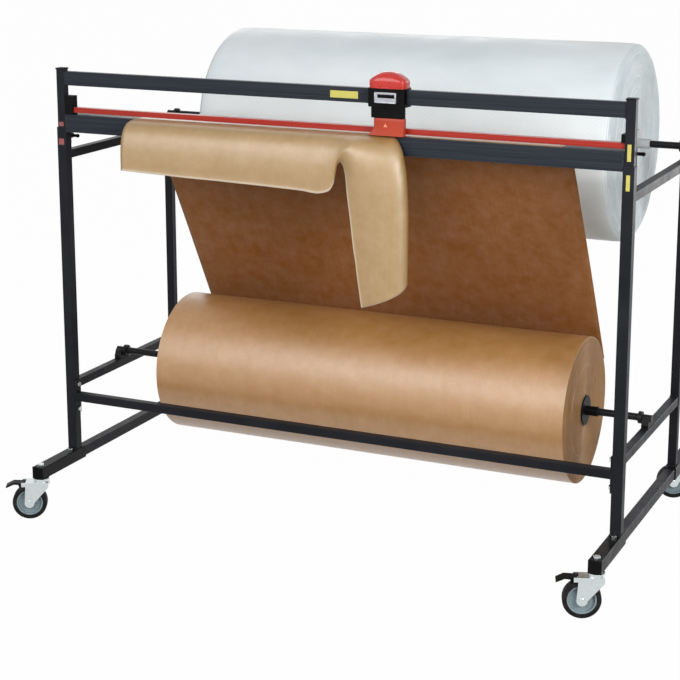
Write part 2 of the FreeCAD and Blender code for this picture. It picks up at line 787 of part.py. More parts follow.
def holder(label, profile, axle_y, axle_z):
    """A pair of saddles with an open seat for an axle. The profile is in Y and Z."""
    pair = []
    for side in (LEFT, RIGHT):
        saddle = new_body("axle_saddle")
        sketch = new_sketch(saddle, "YZ_Plane")
        outline(sketch, profile)
        pad(saddle, sketch, "holder_thick", middle=True)
        seat = new_sketch(saddle, "YZ_Plane")
        ring_outline(seat, "axle_radius + axle_room", axle_y, axle_z)
        pocket(saddle, seat, "2 * holder_thick", middle=True)
        mouth = new_sketch(saddle, "YZ_Plane")
        box_outline(mouth, "2 * (axle_radius + axle_room)", "2 * holder_lip", axle_y,
                    f"{axle_z} + holder_lip")
        pocket(saddle, mouth, "2 * holder_thick", middle=True)
        pair.append(put(saddle, at_x(side, POST_X), at_y("0"), "0"))
    return group(label, pair)


def holders():
    low = "(lower_rail_low + rail_side)"
    top = "(paper_axle_z + holder_lip)"
    half = "paper_holder_wide / 2"
    holder("paper_axle_holders",
           [(f"paper_axle_y - {half}", low), (f"paper_axle_y + {half}", low),
            (f"paper_axle_y + {half}", f"{low} + 10"), (f"paper_axle_y + {half} - 8", top),
            (f"paper_axle_y - {half} + 8", top), (f"paper_axle_y - {half}", f"{low} + 10")],
           "paper_axle_y", "paper_axle_z")
    top = "(film_axle_z + holder_lip)"
    wall = "axle_radius + film_holder_wall"
    holder("film_axle_holders",
           [("rear_face", "rear_post_top"), ("rear_back", "rear_post_top"),
            ("rear_back", "rear_post_top - film_holder_drop"),
            ("rear_back + film_holder_wall", "rear_post_top - film_holder_drop"),
            (f"film_axle_y + {wall}", "rear_post_top + 8"), (f"film_axle_y + {wall}", top),
            (f"film_axle_y - {wall}", top), ("rear_face", "rear_post_top + 8")],
           "film_axle_y", "film_axle_z")


def roll_axle(label, y, z):
    """A round axle from holder to holder, with a stop collar inside each."""
    half = "(stand_wide / 2 - axle_end_inset)"
    stop = f"({INNER_X} - collar_room + (post_side - holder_thick) / 2)"
    collars = [(f"{stop}", "axle_radius"), (f"{stop}", "collar_radius"),
               (f"{stop} - collar_thick", "collar_radius"),
               (f"{stop} - collar_thick", "axle_radius")]
    profile = [(f"0 - {half}", "0"), (half, "0"), (half, "axle_radius")] + collars
    profile += [(f"0 - ({along})", radius) for along, radius in reversed(collars)]
    profile += [(f"0 - {half}", "axle_radius")]
    axle = turned(label, "X", profile)
    return node(put(axle, "frame_mid_x", at_y(y), z), label)


def core_plugs(label, offset, wide, core_inner, y, z):
    """A flanged plug in each end of the core, with a boss that is fixed on the axle."""
    pair = []
    bore = "(axle_radius)"
    for side in (LEFT, RIGHT):
        face = f"{side} * ({wide}) / 2"
        plug = turned("core_plug", "X",
                      [(f"{face} - {side} * plug_long", bore),
                       (f"{face} - {side} * plug_long", f"{core_inner}"),
                       (face, f"{core_inner}"),
                       (face, f"{core_inner} + plug_flange_lip"),
                       (f"{face} + {side} * plug_flange_thick", f"{core_inner} + plug_flange_lip"),
                       (f"{face} + {side} * plug_flange_thick", "plug_boss_radius"),
                       (f"{face} + {side} * (plug_flange_thick + plug_boss_long)",
                        "plug_boss_radius"),
                       (f"{face} + {side} * (plug_flange_thick + plug_boss_long)", bore)])
        pair.append(put(plug, f"frame_mid_x + {offset}", at_y(y), z))
    return group(label, pair)


def paper_roll():
    spot = ("frame_mid_x + paper_offset_x", at_y("paper_axle_y"), "paper_axle_z")
    roll = turned("paper_roll", "X", ring_profile("0 - paper_wide / 2", "paper_wide",
                                                  "paper_core_radius", "paper_radius"))
    node(put(roll, *spot), "paper_roll")
    inner = "(paper_core_radius - paper_core_wall)"
    core = turned("paper_core", "X", ring_profile("0 - paper_wide / 2", "paper_wide", inner,
                                                  "paper_core_radius"))
    node(put(core, *spot), "paper_core")
    core_plugs("paper_core_plugs", "paper_offset_x", "paper_wide", inner, "paper_axle_y",
               "paper_axle_z")
    roll_axle("paper_axle", "paper_axle_y", "paper_axle_z")


def film_roll():
    """Bubble film is nearly all air, so the roll is its outer wraps and two end faces."""
    spot = ("frame_mid_x + film_offset_x", at_y("film_axle_y"), "film_axle_z")
    half, thick = "film_wide / 2", "film_wrap_thick"
    roll = turned("film_roll", "X",
                  [(f"0 - {half}", "film_core_radius"), (f"{thick} - {half}", "film_core_radius"),
                   (f"{thick} - {half}", f"film_radius - {thick}"),
                   (f"{half} - {thick}", f"film_radius - {thick}"),
                   (f"{half} - {thick}", "film_core_radius"), (half, "film_core_radius"),
                   (half, "film_radius"), (f"0 - {half}", "film_radius")])
    node(put(roll, *spot), "film_roll")
    inner = "(film_core_radius - film_core_wall)"
    core = turned("film_core", "X", ring_profile("0 - film_wide / 2", "film_wide", inner,
                                                 "film_core_radius"))
    node(put(core, *spot), "film_core")
    core_plugs("film_core_plugs", "film_offset_x", "film_wide", inner, "film_axle_y",
               "film_axle_z")
    roll_axle("film_axle", "film_axle_y", "film_axle_z")


# ---- Cutting unit ------------------------------------------------------------------

def uprights():
    """Thinner tubes that stand in the posts and carry the guide rail and the beam."""
    caps = []
    low = "post_top - upright_insert"
    for side, word in ((LEFT, "left"), (RIGHT, "right")):
        upright = square_tube(f"{word}_upright", "Z", "upright_side", "upright_wall",
                              f"upright_top - ({low})")
        node(put(upright, at_x(side, POST_X), at_y(POST_Y), low), f"{word}_upright")
        caps.append(box("upright_cap", f"{at_x(side, POST_X)} - cap_side / 2",
                        f"{at_y(POST_Y)} - cap_side / 2", "upright_top",
                        "cap_side", "cap_side", "cap_high"))
    group("upright_caps", caps)


def guide_rail():
    rail = square_tube("guide_rail", "X", "guide_deep", "guide_wall", f"2 * {UPRIGHT_INNER}",
                       high="guide_high")
    node(put(rail, f"frame_mid_x - {UPRIGHT_INNER}",
             at_y(f"{UPRIGHT_GAP} + guide_deep / 2"), "guide_top - guide_high / 2"),
         "guide_rail")


BEAM_LOW = "(beam_top - beam_high)"


def cutting_beam():
    """Hollow beam with a blade groove along its top, and a plate to each upright."""
    beam = new_body("cutting_beam_tube")
    sketch = new_sketch(beam, "YZ_Plane")
    left, right = "groove_middle - groove_wide / 2", "groove_middle + groove_wide / 2"
    floor = "beam_high - groove_deep"
    outline(sketch, [("0", "0"), ("beam_deep", "0"), ("beam_deep", "beam_high"),
                     (right, "beam_high"), (right, floor), (left, floor), (left, "beam_high"),
                     ("0", "beam_high")])
    outline(sketch, [("beam_wall", "beam_wall"), ("beam_deep - beam_wall", "beam_wall"),
                     ("beam_deep - beam_wall", "beam_high - beam_skin"),
                     ("beam_wall", "beam_high - beam_skin")])
    half = f"({INNER_X} - beam_end_room)"
    pad(beam, sketch, f"2 * {half}", middle=True)
    pieces = [put(beam, "frame_mid_x", at_y("0"), BEAM_LOW)]
    thick = f"{UPRIGHT_INNER} - {half}"
    low = "(post_top + beam_end_room)"
    for side in (LEFT, RIGHT):
        corner = half if side == RIGHT else f"(0 - {half} - ({thick}))"
        pieces.append(box("beam_end_plate", f"frame_mid_x + {corner}", at_y(UPRIGHT_GAP), low,
                          thick, "upright_side", f"beam_top - {low}"))
    group("cutting_beam", pieces)


RAIL_LOW = "(beam_top + slot_high)"


def pressure_rail():
    """The red rail that keeps the paper down behind the blade, and its end blocks: the left
    one stands on the beam and holds the rail's end, the right one sits on the rail."""
    rail = box("pressure_rail", f"frame_mid_x - {UPRIGHT_INNER} + left_block_long",
               at_y("pressure_rail_front"), RAIL_LOW, f"2 * {UPRIGHT_INNER} - left_block_long",
               "pressure_rail_deep", "pressure_rail_high")
    node(rail, "pressure_rail")
    left = box("rail_end_block", f"frame_mid_x - {UPRIGHT_INNER}", at_y("5"), "beam_top",
               "left_block_long", "block_deep", "left_block_high")
    right = box("rail_end_block", f"frame_mid_x + {UPRIGHT_INNER} - right_block_long", at_y("5"),
                f"{RAIL_LOW} + pressure_rail_high", "right_block_long", "block_deep",
                "right_block_high")
    group("rail_end_blocks", [left, right])


# ---- Clamps ------------------------------------------------------------------------

def clamp_tabs():
    """A tab behind each post with two threaded bosses, for a low and a high screw."""
    tabs = []
    spots = [("0", z) for z in ("clamp_low_z", "clamp_high_z")]
    for side in (LEFT, RIGHT):
        tab = new_body("clamp_tab")
        plate = new_sketch(tab, "XZ_Plane")
        box_outline(plate, "upright_side", "tab_top - tab_low", "0", "(tab_top + tab_low) / 2")
        pad(tab, plate, "tab_thick", reverse=True)
        bosses = new_sketch(tab, "XZ_Plane")
        for x, z in spots:
            ring_outline(bosses, "boss_radius", x, z)
        pad(tab, bosses, "tab_thick + boss_long", reverse=True)
        drill(tab, "XZ_Plane", "clamp_thread_radius", spots, "4 * boss_long")
        tabs.append(put(tab, at_x(side, POST_X), at_y("post_side"), "0"))
    group("clamp_tabs", tabs)


def clamp_lever(word, side, z):
    """A screw through one boss, with a hub and a short lever arm."""
    tip = f"post_side - {UPRIGHT_GAP} + clamp_tip_room"
    hub = "post_side + tab_thick + boss_long + swivel_room"
    x = at_x(side, POST_X)
    arm_y = at_y(f"{hub} + lever_hub_long / 2")
    ball = doc.addObject("Part::Sphere", f"{word}_clamp_ball")
    bind(ball, Radius="lever_arm_radius + 1")
    pieces = [rod(f"{word}_clamp_stud", x, at_y(tip), z, "clamp_thread_radius - thread_room",
                  f"{hub} - ({tip})", "+Y"),
              rod(f"{word}_clamp_hub", x, at_y(hub), z, "lever_hub_radius", "lever_hub_long",
                  "+Y"),
              rod(f"{word}_clamp_arm", x, arm_y, z, "lever_arm_radius", "lever_reach", "+X"),
              put(ball, f"{x} + lever_reach", arm_y, z)]
    return node(joined(f"{word}_clamp_lever", pieces), f"{word}_clamp_lever")


# ---- Paper -------------------------------------------------------------------------

PAPER_LEFT = "(frame_mid_x + paper_offset_x - paper_wide / 2)"
CUT_BACK = "(groove_middle + cut_gap)"
CUT_FRONT = "(groove_middle - cut_gap)"


def tangent_point(start, centre, radius):
    """Where a straight run from start meets a circle, on the circle's rear side."""
    away = start - centre
    distance = away.Length
    along = away * (radius / distance) * (radius / distance)
    across = Vector(0, -away.z, away.y) * (radius * (distance ** 2 - radius ** 2) ** 0.5
                                           / distance ** 2)
    rear, front = centre + along - across, centre + along + across
    return rear if rear.y > front.y else front


def paper_web():
    """Paper from the roll's back up to the beam, then flat over it to the cut line."""
    thick, room = value("sheet_thick"), value("sheet_room")
    top = value("beam_top")
    edge = Vector(0, value(at_y("beam_deep")) + room, top)
    centre = Vector(0, value(at_y("paper_axle_y")), value("paper_axle_z"))
    low = tangent_point(edge, centre, value("paper_radius") + room)
    run = (edge - low).normalize()
    out = Vector(0, run.z, -run.y)
    corner = top + thick
    bend = edge + out * thick + run * ((corner - (edge + out * thick).z) / run.z)
    cut = value(at_y(CUT_BACK))
    outer = [Vector(0, cut, top), edge, low, low + out * thick, bend, Vector(0, cut, corner)]
    face = Part.Face(Part.makePolygon(outer + outer[:1]))
    web = doc.addObject("Part::Feature", "paper_web")
    web.Shape = face.extrude(Vector(value("paper_wide"), 0, 0))
    web.Placement.Base = Vector(value(PAPER_LEFT), 0, 0)
    node(web, "paper_web")


def bent_sheet(label, start, end):
    """Sheet from the cut line out over the beam's front and round a quarter bend."""
    level = "(beam_top + sheet_thick)"
    wide = f"{end} - ({start})"
    lip_front = "(0 - flap_run)"
    lip = box(f"{label}_lip", start, at_y(lip_front), "beam_top", wide,
              f"{CUT_FRONT} + flap_run", "sheet_thick")
    bends = []
    for radius in ("flap_bend", "flap_bend - sheet_thick"):
        bend = doc.addObject("Part::Cylinder", f"{label}_bend")
        bind(bend, Radius=radius, Height=wide)
        bend.Angle = 90
        put(bend, start, at_y(lip_front), f"{level} - flap_bend")
        bend.Placement.Rotation = Rotation(Vector(0, 0, 1), Vector(0, -1, 0), Vector(1, 0, 0))
        bends.append(bend)
    return [lip, carved(f"{label}_curve", *bends)]


def paper_strip():
    """The strip in front: a flap still joined at the left, and the cut tail folded down."""
    hang = "(beam_top + sheet_thick - flap_bend)"
    face = "(0 - flap_run - flap_bend)"
    flap_end = "frame_mid_x + flap_right_x"
    pieces = bent_sheet("flap", PAPER_LEFT, flap_end)
    pieces.append(box("flap_fall", PAPER_LEFT, at_y(face), "flap_low",
                      f"{flap_end} - {PAPER_LEFT}", "sheet_thick", f"{hang} - flap_low"))
    pieces += bent_sheet("shoulder", flap_end, "frame_mid_x + tail_right_x")
    tail = new_body("tail_fall")
    sketch = new_sketch(tail, "XZ_Plane")
    outline(sketch, [("tail_left_x", hang), ("tail_tip_x", "tail_tip_z"),
                     ("tail_right_x", "tail_heel_z"), ("tail_right_x", hang)])
    pad(tail, sketch, "sheet_thick", reverse=True)
    pieces.append(put(tail, "frame_mid_x", at_y(face), "0"))
    node(joined("paper_strip", pieces), "paper_strip")


# ---- Carriage ----------------------------------------------------------------------

CARRIAGE_X = "(frame_mid_x + carriage_x)"
GUIDE_FRONT = f"({UPRIGHT_GAP})"
GUIDE_LOW = "(guide_top - guide_high)"
ROLLER_Z = "(guide_top + roller_radius + roller_lift)"
BLADE_Z = "(beam_top - blade_dip + blade_radius)"


def block(label, half, front, back, low, high):
    """A block centred on the carriage: half width, then Y and Z spans."""
    return box(label, f"{CARRIAGE_X} - ({half})", at_y(front), low, f"2 * ({half})",
               f"{back} - ({front})", f"{high} - ({low})")


def soft_block(label, left, right, front, back, low, high, corner):
    """A block on the carriage with rounded upright corners, wider or narrower to one side."""
    made = new_body(label)
    sketch = new_sketch(made, "XY_Plane")
    outline(sketch, [(f"0 - ({left})", front), (right, front), (right, back),
                     (f"0 - ({left})", back)])
    pad(made, sketch, f"{high} - ({low})")
    round_edges(made, corner, lambda edge: abs(edge.Curve.Direction.z) > 0.5)
    return put(made, CARRIAGE_X, at_y("0"), low)


def carriage_body():
    """Black housing that wraps the guide rail, with cheeks for two rollers on top."""
    front, back = "0 - carriage_front", "carriage_back"
    cheek_front = f"{GUIDE_FRONT} - cheek_wall"
    cheek_back = f"{GUIDE_FRONT} + guide_deep + cheek_wall"
    solid = joined("carriage_solid", [
        soft_block("carriage_upper", "carriage_wide / 2", "carriage_wide / 2", front, back,
                   "waist_z", "dome_low", "body_corner"),
        soft_block("carriage_waist", "waist_left", "shoe_right", front, "shoe_back", "shoe_top",
                   "waist_z", "waist_corner"),
        block("carriage_cheeks", "cheek_half", cheek_front, cheek_back, "guide_top",
              "dome_low + cheek_high")])
    hollow = joined("carriage_hollow", [
        block("guide_channel", "carriage_wide", f"{GUIDE_FRONT} - guide_room",
              f"{GUIDE_FRONT} + guide_deep + guide_room", f"{GUIDE_LOW} - guide_room",
              "guide_top + guide_room"),
        block("roller_pocket", "roller_spread / 2 + roller_radius + 3",
              f"{GUIDE_FRONT} + (guide_deep - roller_wide) / 2 - guide_room",
              f"{GUIDE_FRONT} + (guide_deep + roller_wide) / 2 + guide_room", "guide_top",
              "dome_low + 2 * cheek_high")]
        + [rod("roller_pin_hole", f"{CARRIAGE_X} + {side} * roller_spread / 2",
               at_y(cheek_front), ROLLER_Z, "roller_pin_radius",
               "guide_deep + 2 * cheek_wall", "+Y") for side in (LEFT, RIGHT)])
    return node(carved("carriage_body", solid, hollow), "carriage_body")


def arch_outline(sketch, half, low, top, radius):
    """Upright sides and a flat foot under one wide arc."""
    h, z, peak, r = (value(size) for size in (half, low, top, radius))
    centre = Vector(0, peak - r, 0)
    rise = math.acos(h / r)
    corners = [Vector(-h, z, 0), Vector(h, z, 0), centre + Vector(h, r * math.sin(rise), 0),
               centre + Vector(-h, r * math.sin(rise), 0)]
    for here, there in ((0, 1), (1, 2), (3, 0)):
        sketch.addGeometry(Part.LineSegment(corners[here], corners[there]), False)
    foot, right, left = 0, 1, 2
    arc = sketch.addGeometry(Part.ArcOfCircle(Part.Circle(centre, Vector(0, 0, 1), r), rise,
                                              math.pi - rise), False)
    for first, end, second, start in ((foot, 2, right, 1), (right, 2, arc, 1),
                                      (arc, 2, left, 1), (left, 2, foot, 1)):
        sketch.addConstraint(Sketcher.Constraint("Coincident", first, end, second, start))
    for side in (left, right):
        sketch.addConstraint(Sketcher.Constraint("Vertical", side))
    fix_point(sketch, foot, 1, f"0 - ({half})", low)
    fix_point(sketch, foot, 2, half, low)
    fix_point(sketch, arc, 3, "0", f"{top} - ({radius})")
    index = sketch.addConstraint(Sketcher.Constraint("Radius", arc, r))
    sketch.setExpression(f"Constraints[{index}]", linked(radius))


def arched_cover(label, inset, low):
    """The dome's outer or inner form, from its front to its back."""
    cover = new_body(label)
    sketch = new_sketch(cover, "XZ_Plane")
    arch_outline(sketch, f"carriage_wide / 2 - {inset}", low, f"carriage_top - {inset}",
                 f"dome_arch - {inset}")
    pad(cover, sketch, f"carriage_front + carriage_back - 2 * {inset}", reverse=True)
    return put(cover, CARRIAGE_X, at_y(f"{inset} - carriage_front"), "0")


def carriage_dome():
    """Red arched cover over the rollers, closed at the front and the back."""
    outer = arched_cover("dome_outer", "0", "dome_low")
    floor = value("dome_low")
    round_edges(outer, "dome_edge", lambda edge: all(v.Point.z > floor + 1
                                                     for v in edge.Vertexes)
                and abs(edge.Vertexes[0].Point.y - edge.Vertexes[1].Point.y) < 1e-6)
    inner = arched_cover("dome_inner", "dome_wall", "dome_low - dome_wall")
    return node(carved("carriage_dome", outer, inner), "carriage_dome")


def carriage_shoe():
    """Red block in front of the pressure rail that carries the blade's pin."""
    front, back = "0 - carriage_front", "shoe_back"
    solid = joined("shoe_solid", [
        soft_block("shoe_block", "shoe_left", "shoe_right", front, back, "shoe_low",
                   "shoe_top", "shoe_corner"),
        soft_block("shoe_foot", "shoe_foot_left", "shoe_right", front, back, "shoe_low",
                   "shoe_low + shoe_foot_high", "shoe_corner"),
        rod("blade_boss", CARRIAGE_X, at_y(back), BLADE_Z, "blade_boss_radius",
            "groove_middle - blade_thick - shoe_back", "+Y")])
    hole = rod("blade_pin_hole", CARRIAGE_X, at_y("0 - carriage_front / 2"), BLADE_Z,
               "blade_pin_radius", "carriage_front", "+Y")
    return node(carved("carriage_shoe", solid, hole), "carriage_shoe")


def carriage_label():
    plate = box("carriage_label_plate", f"{CARRIAGE_X} - label_wide / 2",
                at_y("0 - carriage_front - label_thick"), "label_low", "label_wide",
                "label_thick", "label_high")
    return node(plate, "carriage_label_plate")


def rollers_and_blade():
    """Two rollers on the guide rail and the round blade, with their pins."""
    cheek_front = f"{GUIDE_FRONT} - cheek_wall"
    pins = []
    for side, word in ((LEFT, "left"), (RIGHT, "right")):
        x = f"{CARRIAGE_X} + {side} * roller_spread / 2"
        roller = turned(f"{word}_guide_roller", "Y",
                        ring_profile("0", "roller_wide", "roller_pin_radius + spin_room",
                                     "roller_radius"))
        node(put(roller, x, at_y(f"{GUIDE_FRONT} + (guide_deep - roller_wide) / 2"), ROLLER_Z),
             f"{word}_guide_roller")
        pins.append(rod("roller_pin", x, at_y(cheek_front), ROLLER_Z, "roller_pin_radius",
                        "guide_deep + 2 * cheek_wall", "+Y"))
    blade = turned("cutting_blade", "Y",
                   ring_profile("0 - blade_thick / 2", "blade_thick",
                                "blade_pin_radius + spin_room", "blade_radius"))
    node(put(blade, CARRIAGE_X, at_y("groove_middle"), BLADE_Z), "cutting_blade")
    start = "0 - carriage_front / 2"
    pins.append(joined("blade_pin", [
        rod("blade_pin_shank", CARRIAGE_X, at_y(start), BLADE_Z, "blade_pin_radius",
            f"groove_middle + blade_thick - ({start})", "+Y"),
        rod("blade_pin_head", CARRIAGE_X, at_y("groove_middle + blade_thick"), BLADE_Z,
            "blade_boss_radius", "1.5", "+Y")]))
    group("carriage_pins", pins)


# ---- Build and write ----------------------------------------------------------------

def build():
    front_posts()
    rear_posts()
    side_rails()
    cross_rail()
    foot_bars()
    foot_sleeves()
    foot_bolts()
    casters()
    holders()
    paper_roll()
    film_roll()
    uprights()
    guide_rail()
    cutting_beam()
    pressure_rail()
    clamp_tabs()
    clamp_lever("left", LEFT, "clamp_low_z")
    clamp_lever("right", RIGHT, "clamp_high_z")
    paper_web()
    paper_strip()
    carriage_body()
    carriage_dome()
    carriage_shoe()
    carriage_label()
    rollers_and_blade()
    doc.recompute()


def check():
    """Stop on any failed feature or bad shape before anything is written."""
    for item in doc.Objects:
        if {"Invalid", "Error"} & set(item.State):
            raise RuntimeError(f"{item.Label} failed: {item.State}")
    for item in nodes:
        if item.Shape.isNull() or not item.Shape.isValid() or not item.Shape.Solids:
            raise RuntimeError(f"{item.Label} has no valid shape")


def write():
    os.makedirs("parts", exist_ok=True)
    outline_box = FreeCAD.BoundBox()
    for item in nodes:
        item.Shape.exportStep(f"parts/{item.Label}.step")
        outline_box.add(item.Shape.BoundBox)
    print(len(nodes), "nodes; outline box", outline_box)


build()
check()
write()
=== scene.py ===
import json
import math

import bmesh
import bpy
import numpy as np
from bpy.props import FloatProperty, FloatVectorProperty, IntProperty, PointerProperty
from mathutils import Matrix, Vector, noise


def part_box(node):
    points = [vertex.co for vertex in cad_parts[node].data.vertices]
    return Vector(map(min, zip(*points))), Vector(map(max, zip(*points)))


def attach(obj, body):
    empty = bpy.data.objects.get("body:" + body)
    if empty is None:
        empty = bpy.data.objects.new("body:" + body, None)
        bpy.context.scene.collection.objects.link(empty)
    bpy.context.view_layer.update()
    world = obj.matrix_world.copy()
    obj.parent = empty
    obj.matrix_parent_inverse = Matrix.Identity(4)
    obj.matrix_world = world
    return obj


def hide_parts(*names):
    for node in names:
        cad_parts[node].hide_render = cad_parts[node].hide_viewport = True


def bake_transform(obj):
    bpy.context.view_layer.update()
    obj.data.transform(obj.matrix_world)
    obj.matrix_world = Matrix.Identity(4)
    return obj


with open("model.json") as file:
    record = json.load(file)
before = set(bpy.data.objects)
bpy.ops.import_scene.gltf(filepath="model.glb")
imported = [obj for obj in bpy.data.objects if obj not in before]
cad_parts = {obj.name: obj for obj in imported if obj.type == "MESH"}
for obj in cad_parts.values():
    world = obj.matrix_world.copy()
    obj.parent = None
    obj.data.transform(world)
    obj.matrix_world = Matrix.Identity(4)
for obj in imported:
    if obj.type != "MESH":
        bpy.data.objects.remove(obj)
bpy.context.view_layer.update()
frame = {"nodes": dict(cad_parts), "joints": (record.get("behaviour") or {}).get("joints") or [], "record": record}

bl_info = {
    "name": "Roll cutting stand",
    "version": (1, 0, 0),
    "blender": (4, 5, 0),
    "location": "3D View > Sidebar > Cutting stand",
    "description": "Dresses the frame of a roll cutting stand: paper, film, carriage and finishes",
    "category": "Object",
}

# Metres, in the stand's own frame: +X along the rolls, +Y to the back, +Z up.
MM = 0.001
SLOT_OF = {part["node"]: part["material_slot"] for part in frame["record"]["subparts"]}


def srgb(code):
    """Linear colour from a six-digit display colour."""
    shares = [int(code[i:i + 2], 16) / 255 for i in (0, 2, 4)]
    return tuple(s / 12.92 if s <= 0.04045 else ((s + 0.055) / 1.055) ** 2.4 for s in shares)


def joint_place(name):
    return Vector(next(j for j in frame["joints"] if j["name"] == name)["pos_m"])


# ---- Places read from the frame ----------------------------------------------------

ROLL_LOW, ROLL_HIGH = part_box("paper_roll")
ROLL_AXIS = joint_place("paper_roll_spin")
CORE_RADIUS = (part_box("paper_core")[1].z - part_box("paper_core")[0].z) / 2
FILM_LOW, FILM_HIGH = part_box("film_roll")
FILM_AXIS = joint_place("film_roll_spin")
FILM_CORE_RADIUS = (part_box("film_core")[1].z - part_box("film_core")[0].z) / 2
BEAM_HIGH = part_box("cutting_beam")[1]
GUIDE_LOW, GUIDE_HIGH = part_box("guide_rail")
WEB_LOW, WEB_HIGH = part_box("paper_web")
STRIP_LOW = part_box("paper_strip")[0]
DOME_LOW, DOME_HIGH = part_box("carriage_dome")
BODY_LOW, BODY_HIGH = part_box("carriage_body")
SHOE_LOW, SHOE_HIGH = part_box("carriage_shoe")
LABEL_LOW, LABEL_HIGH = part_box("carriage_label_plate")
BLADE_AXIS = joint_place("blade_spin")
POST_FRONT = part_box("left_front_post")[0].y
MIDDLE_X = (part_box("left_front_post")[0].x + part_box("right_front_post")[1].x) / 2
UPRIGHT_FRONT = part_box("left_upright")[0].y


# ---- Settings ----------------------------------------------------------------------

def colour_property(name, description, code):
    return FloatVectorProperty(name=name, description=description, subtype="COLOR", size=3,
                               min=0, max=1, default=srgb(code))


def length_property(name, description, default):
    return FloatProperty(name=name, description=description, default=default, min=0,
                         unit="LENGTH")


class StandFrameSettings(bpy.types.PropertyGroup):
    """Finish of the tube frame, its fasteners and its casters."""

    paint: colour_property("Frame paint", "Powder coat of posts, rails and foot bars", "191a1f")
    sleeve: colour_property("Sleeve paint", "Powder coat of sleeves and holders", "060607")
    zinc: colour_property("Zinc", "Plated bolts and caster forks", "d3dadb")
    axle: colour_property("Axle", "Blackened steel axles", "17181b")
    rubber: colour_property("Tyre", "Rubber of the four tyres", "09090a")
    hub: colour_property("Wheel centre", "Moulded wheel centres", "8d9da3")
    weld_radius: length_property("Weld", "Radius of the weld beads", 0.0021)
    weld_ripples: IntProperty(name="Weld ripples", description="Ripples along each tube side",
                              default=11, min=2)


class StandPaperSettings(bpy.types.PropertyGroup):
    """Kraft paper: roll, web and the strip in front."""

    kraft: colour_property("Kraft", "Brown wrapping paper", "a2702c")
    # The strip is the roll's own paper: its paler, yellower colour is painted light, for the sheen on it in front.
    strip: colour_property("Cut kraft", "The strip in front, paler than the roll", "967230")
    # Darker and redder than the glazed side: partly the unglazed side's own tone, partly painted shade of the web,
    # which shows this side under the beam.
    unglazed_with_shade: colour_property("Unglazed kraft", "The paper's other side", "8c5727")
    # Darker than the paper's face: partly the cut edges' own tone, partly painted shade of the roll's ends.
    layers: colour_property("Layer edges", "Cut edges of the layers at the roll's ends",
                            "966a30")
    board: colour_property("Core board", "Wound paperboard core", "8f7350")
    thickness: length_property("Paper", "Thickness that the sheets are drawn with", 0.0006)
    roll_rings: IntProperty(name="Rings", description="Rings seen on each end of the roll",
                            default=38, min=4)
    telescoping: length_property("Telescoping", "How unevenly the layers lie at the ends",
                                 0.0011)
    web_sag: length_property("Web bow", "How far the rising web bows inwards", 0.004)
    web_ripple: length_property("Web ripple", "Height of the web's soft ripples", 0.0022)
    notch_up: length_property("Notch height", "Top of the fold in the strip's free edge, below "
                              "the beam's top", 0.066)


class StandFilmSettings(bpy.types.PropertyGroup):
    """Bubble film roll."""

    film: colour_property("Film", "Milky film with air in its bubbles", "d9e0e3")
    # The film shade: partly the uneven layers, partly painted shade, laid in soft clouds over the film.
    shade: colour_property("Film shade", "Colour between the layers", "c6d0d4")
    edge: colour_property("Film edges", "Edges of the layers at the roll's ends", "bcc6ca")
    bubble_pitch: length_property("Bubble pitch", "Distance from bubble to bubble", 0.0115)
    layer: length_property("Layer", "Thickness of one wound layer", 0.004)
    shoulder: length_property("Shoulder", "Softness of the roll's edges", 0.030)
    end_rings: IntProperty(name="Layers", description="Layers seen on each end", default=44,
                           min=4)


class StandCarriageSettings(bpy.types.PropertyGroup):
    """Cutting unit and its carriage."""

    rail: colour_property("Guide rail", "Coated guide rail and beam", "1d232c")
    flare: length_property("Shoe flare", "How far the shoe's left foot stands out", 0.0165)
    crown: length_property("Crown", "How far the cover's arch drops at its sides", 0.015)
    red_rail: colour_property("Pressure rail", "Lacquered pressure rail", "9e1c06")
    black: colour_property("Black plastic", "Moulded housing", "040404")
    red: colour_property("Red plastic", "Moulded cover", "b81f14")
    shoe: colour_property("Shoe plastic", "Moulded shoe", "a8361a")
    pointer: colour_property("Pointer", "Raised pointer of the shoe", "e08a6a")
    natural: colour_property("Natural plastic", "Plugs in the film roll's core", "b9bdbf")
    label: colour_property("Label plate", "Blank metal plate", "a2a4ab")
    steel: colour_property("Blade", "Ground steel", "c4c8cc")
    yellow: colour_property("Yellow label", "Blank yellow labels", "bfb75b")
    # The two marks are only drawn a pale, pinkish red.
    mark: colour_property("Red mark", "Two faded red marks on the left post", "8c4a4c")


class StandStageSettings(bpy.types.PropertyGroup):
    """Floor, light and camera."""

    floor: colour_property("Floor", "Matte share of the pale floor", "b2afaa")
    lens: FloatProperty(name="Lens", description="Focal length on a 36 mm sensor",
                        default=90.77, subtype="DISTANCE_CAMERA")
    camera_place: FloatVectorProperty(name="Camera", description="Place of the camera",
                                      default=(1.9697, -4.4611, 1.8323), unit="LENGTH")
    camera_down: FloatProperty(name="Camera pitch", description="How far it looks down",
                               default=0.2189, unit="ROTATION")
    camera_left: FloatProperty(name="Camera yaw", description="How far it turns left of +Y",
                               default=0.4304, unit="ROTATION")
    camera_shift: FloatProperty(name="Camera rise", description="Lens shift, a share of the "
                                "picture", default=-0.12)


class StandSettings(bpy.types.PropertyGroup):
    """Everything that a user of the stand would change."""

    frame: PointerProperty(type=StandFrameSettings)
    paper: PointerProperty(type=StandPaperSettings)
    film: PointerProperty(type=StandFilmSettings)
    carriage: PointerProperty(type=StandCarriageSettings)
    stage: PointerProperty(type=StandStageSettings)


# ---- Node materials ----------------------------------------------------------------

SOCKETS = {"colour": "Base Color", "roughness": "Roughness", "metallic": "Metallic",
           "normal": "Normal", "specular": "Specular IOR Level", "coat": "Coat Weight",
           "coat_roughness": "Coat Roughness"}


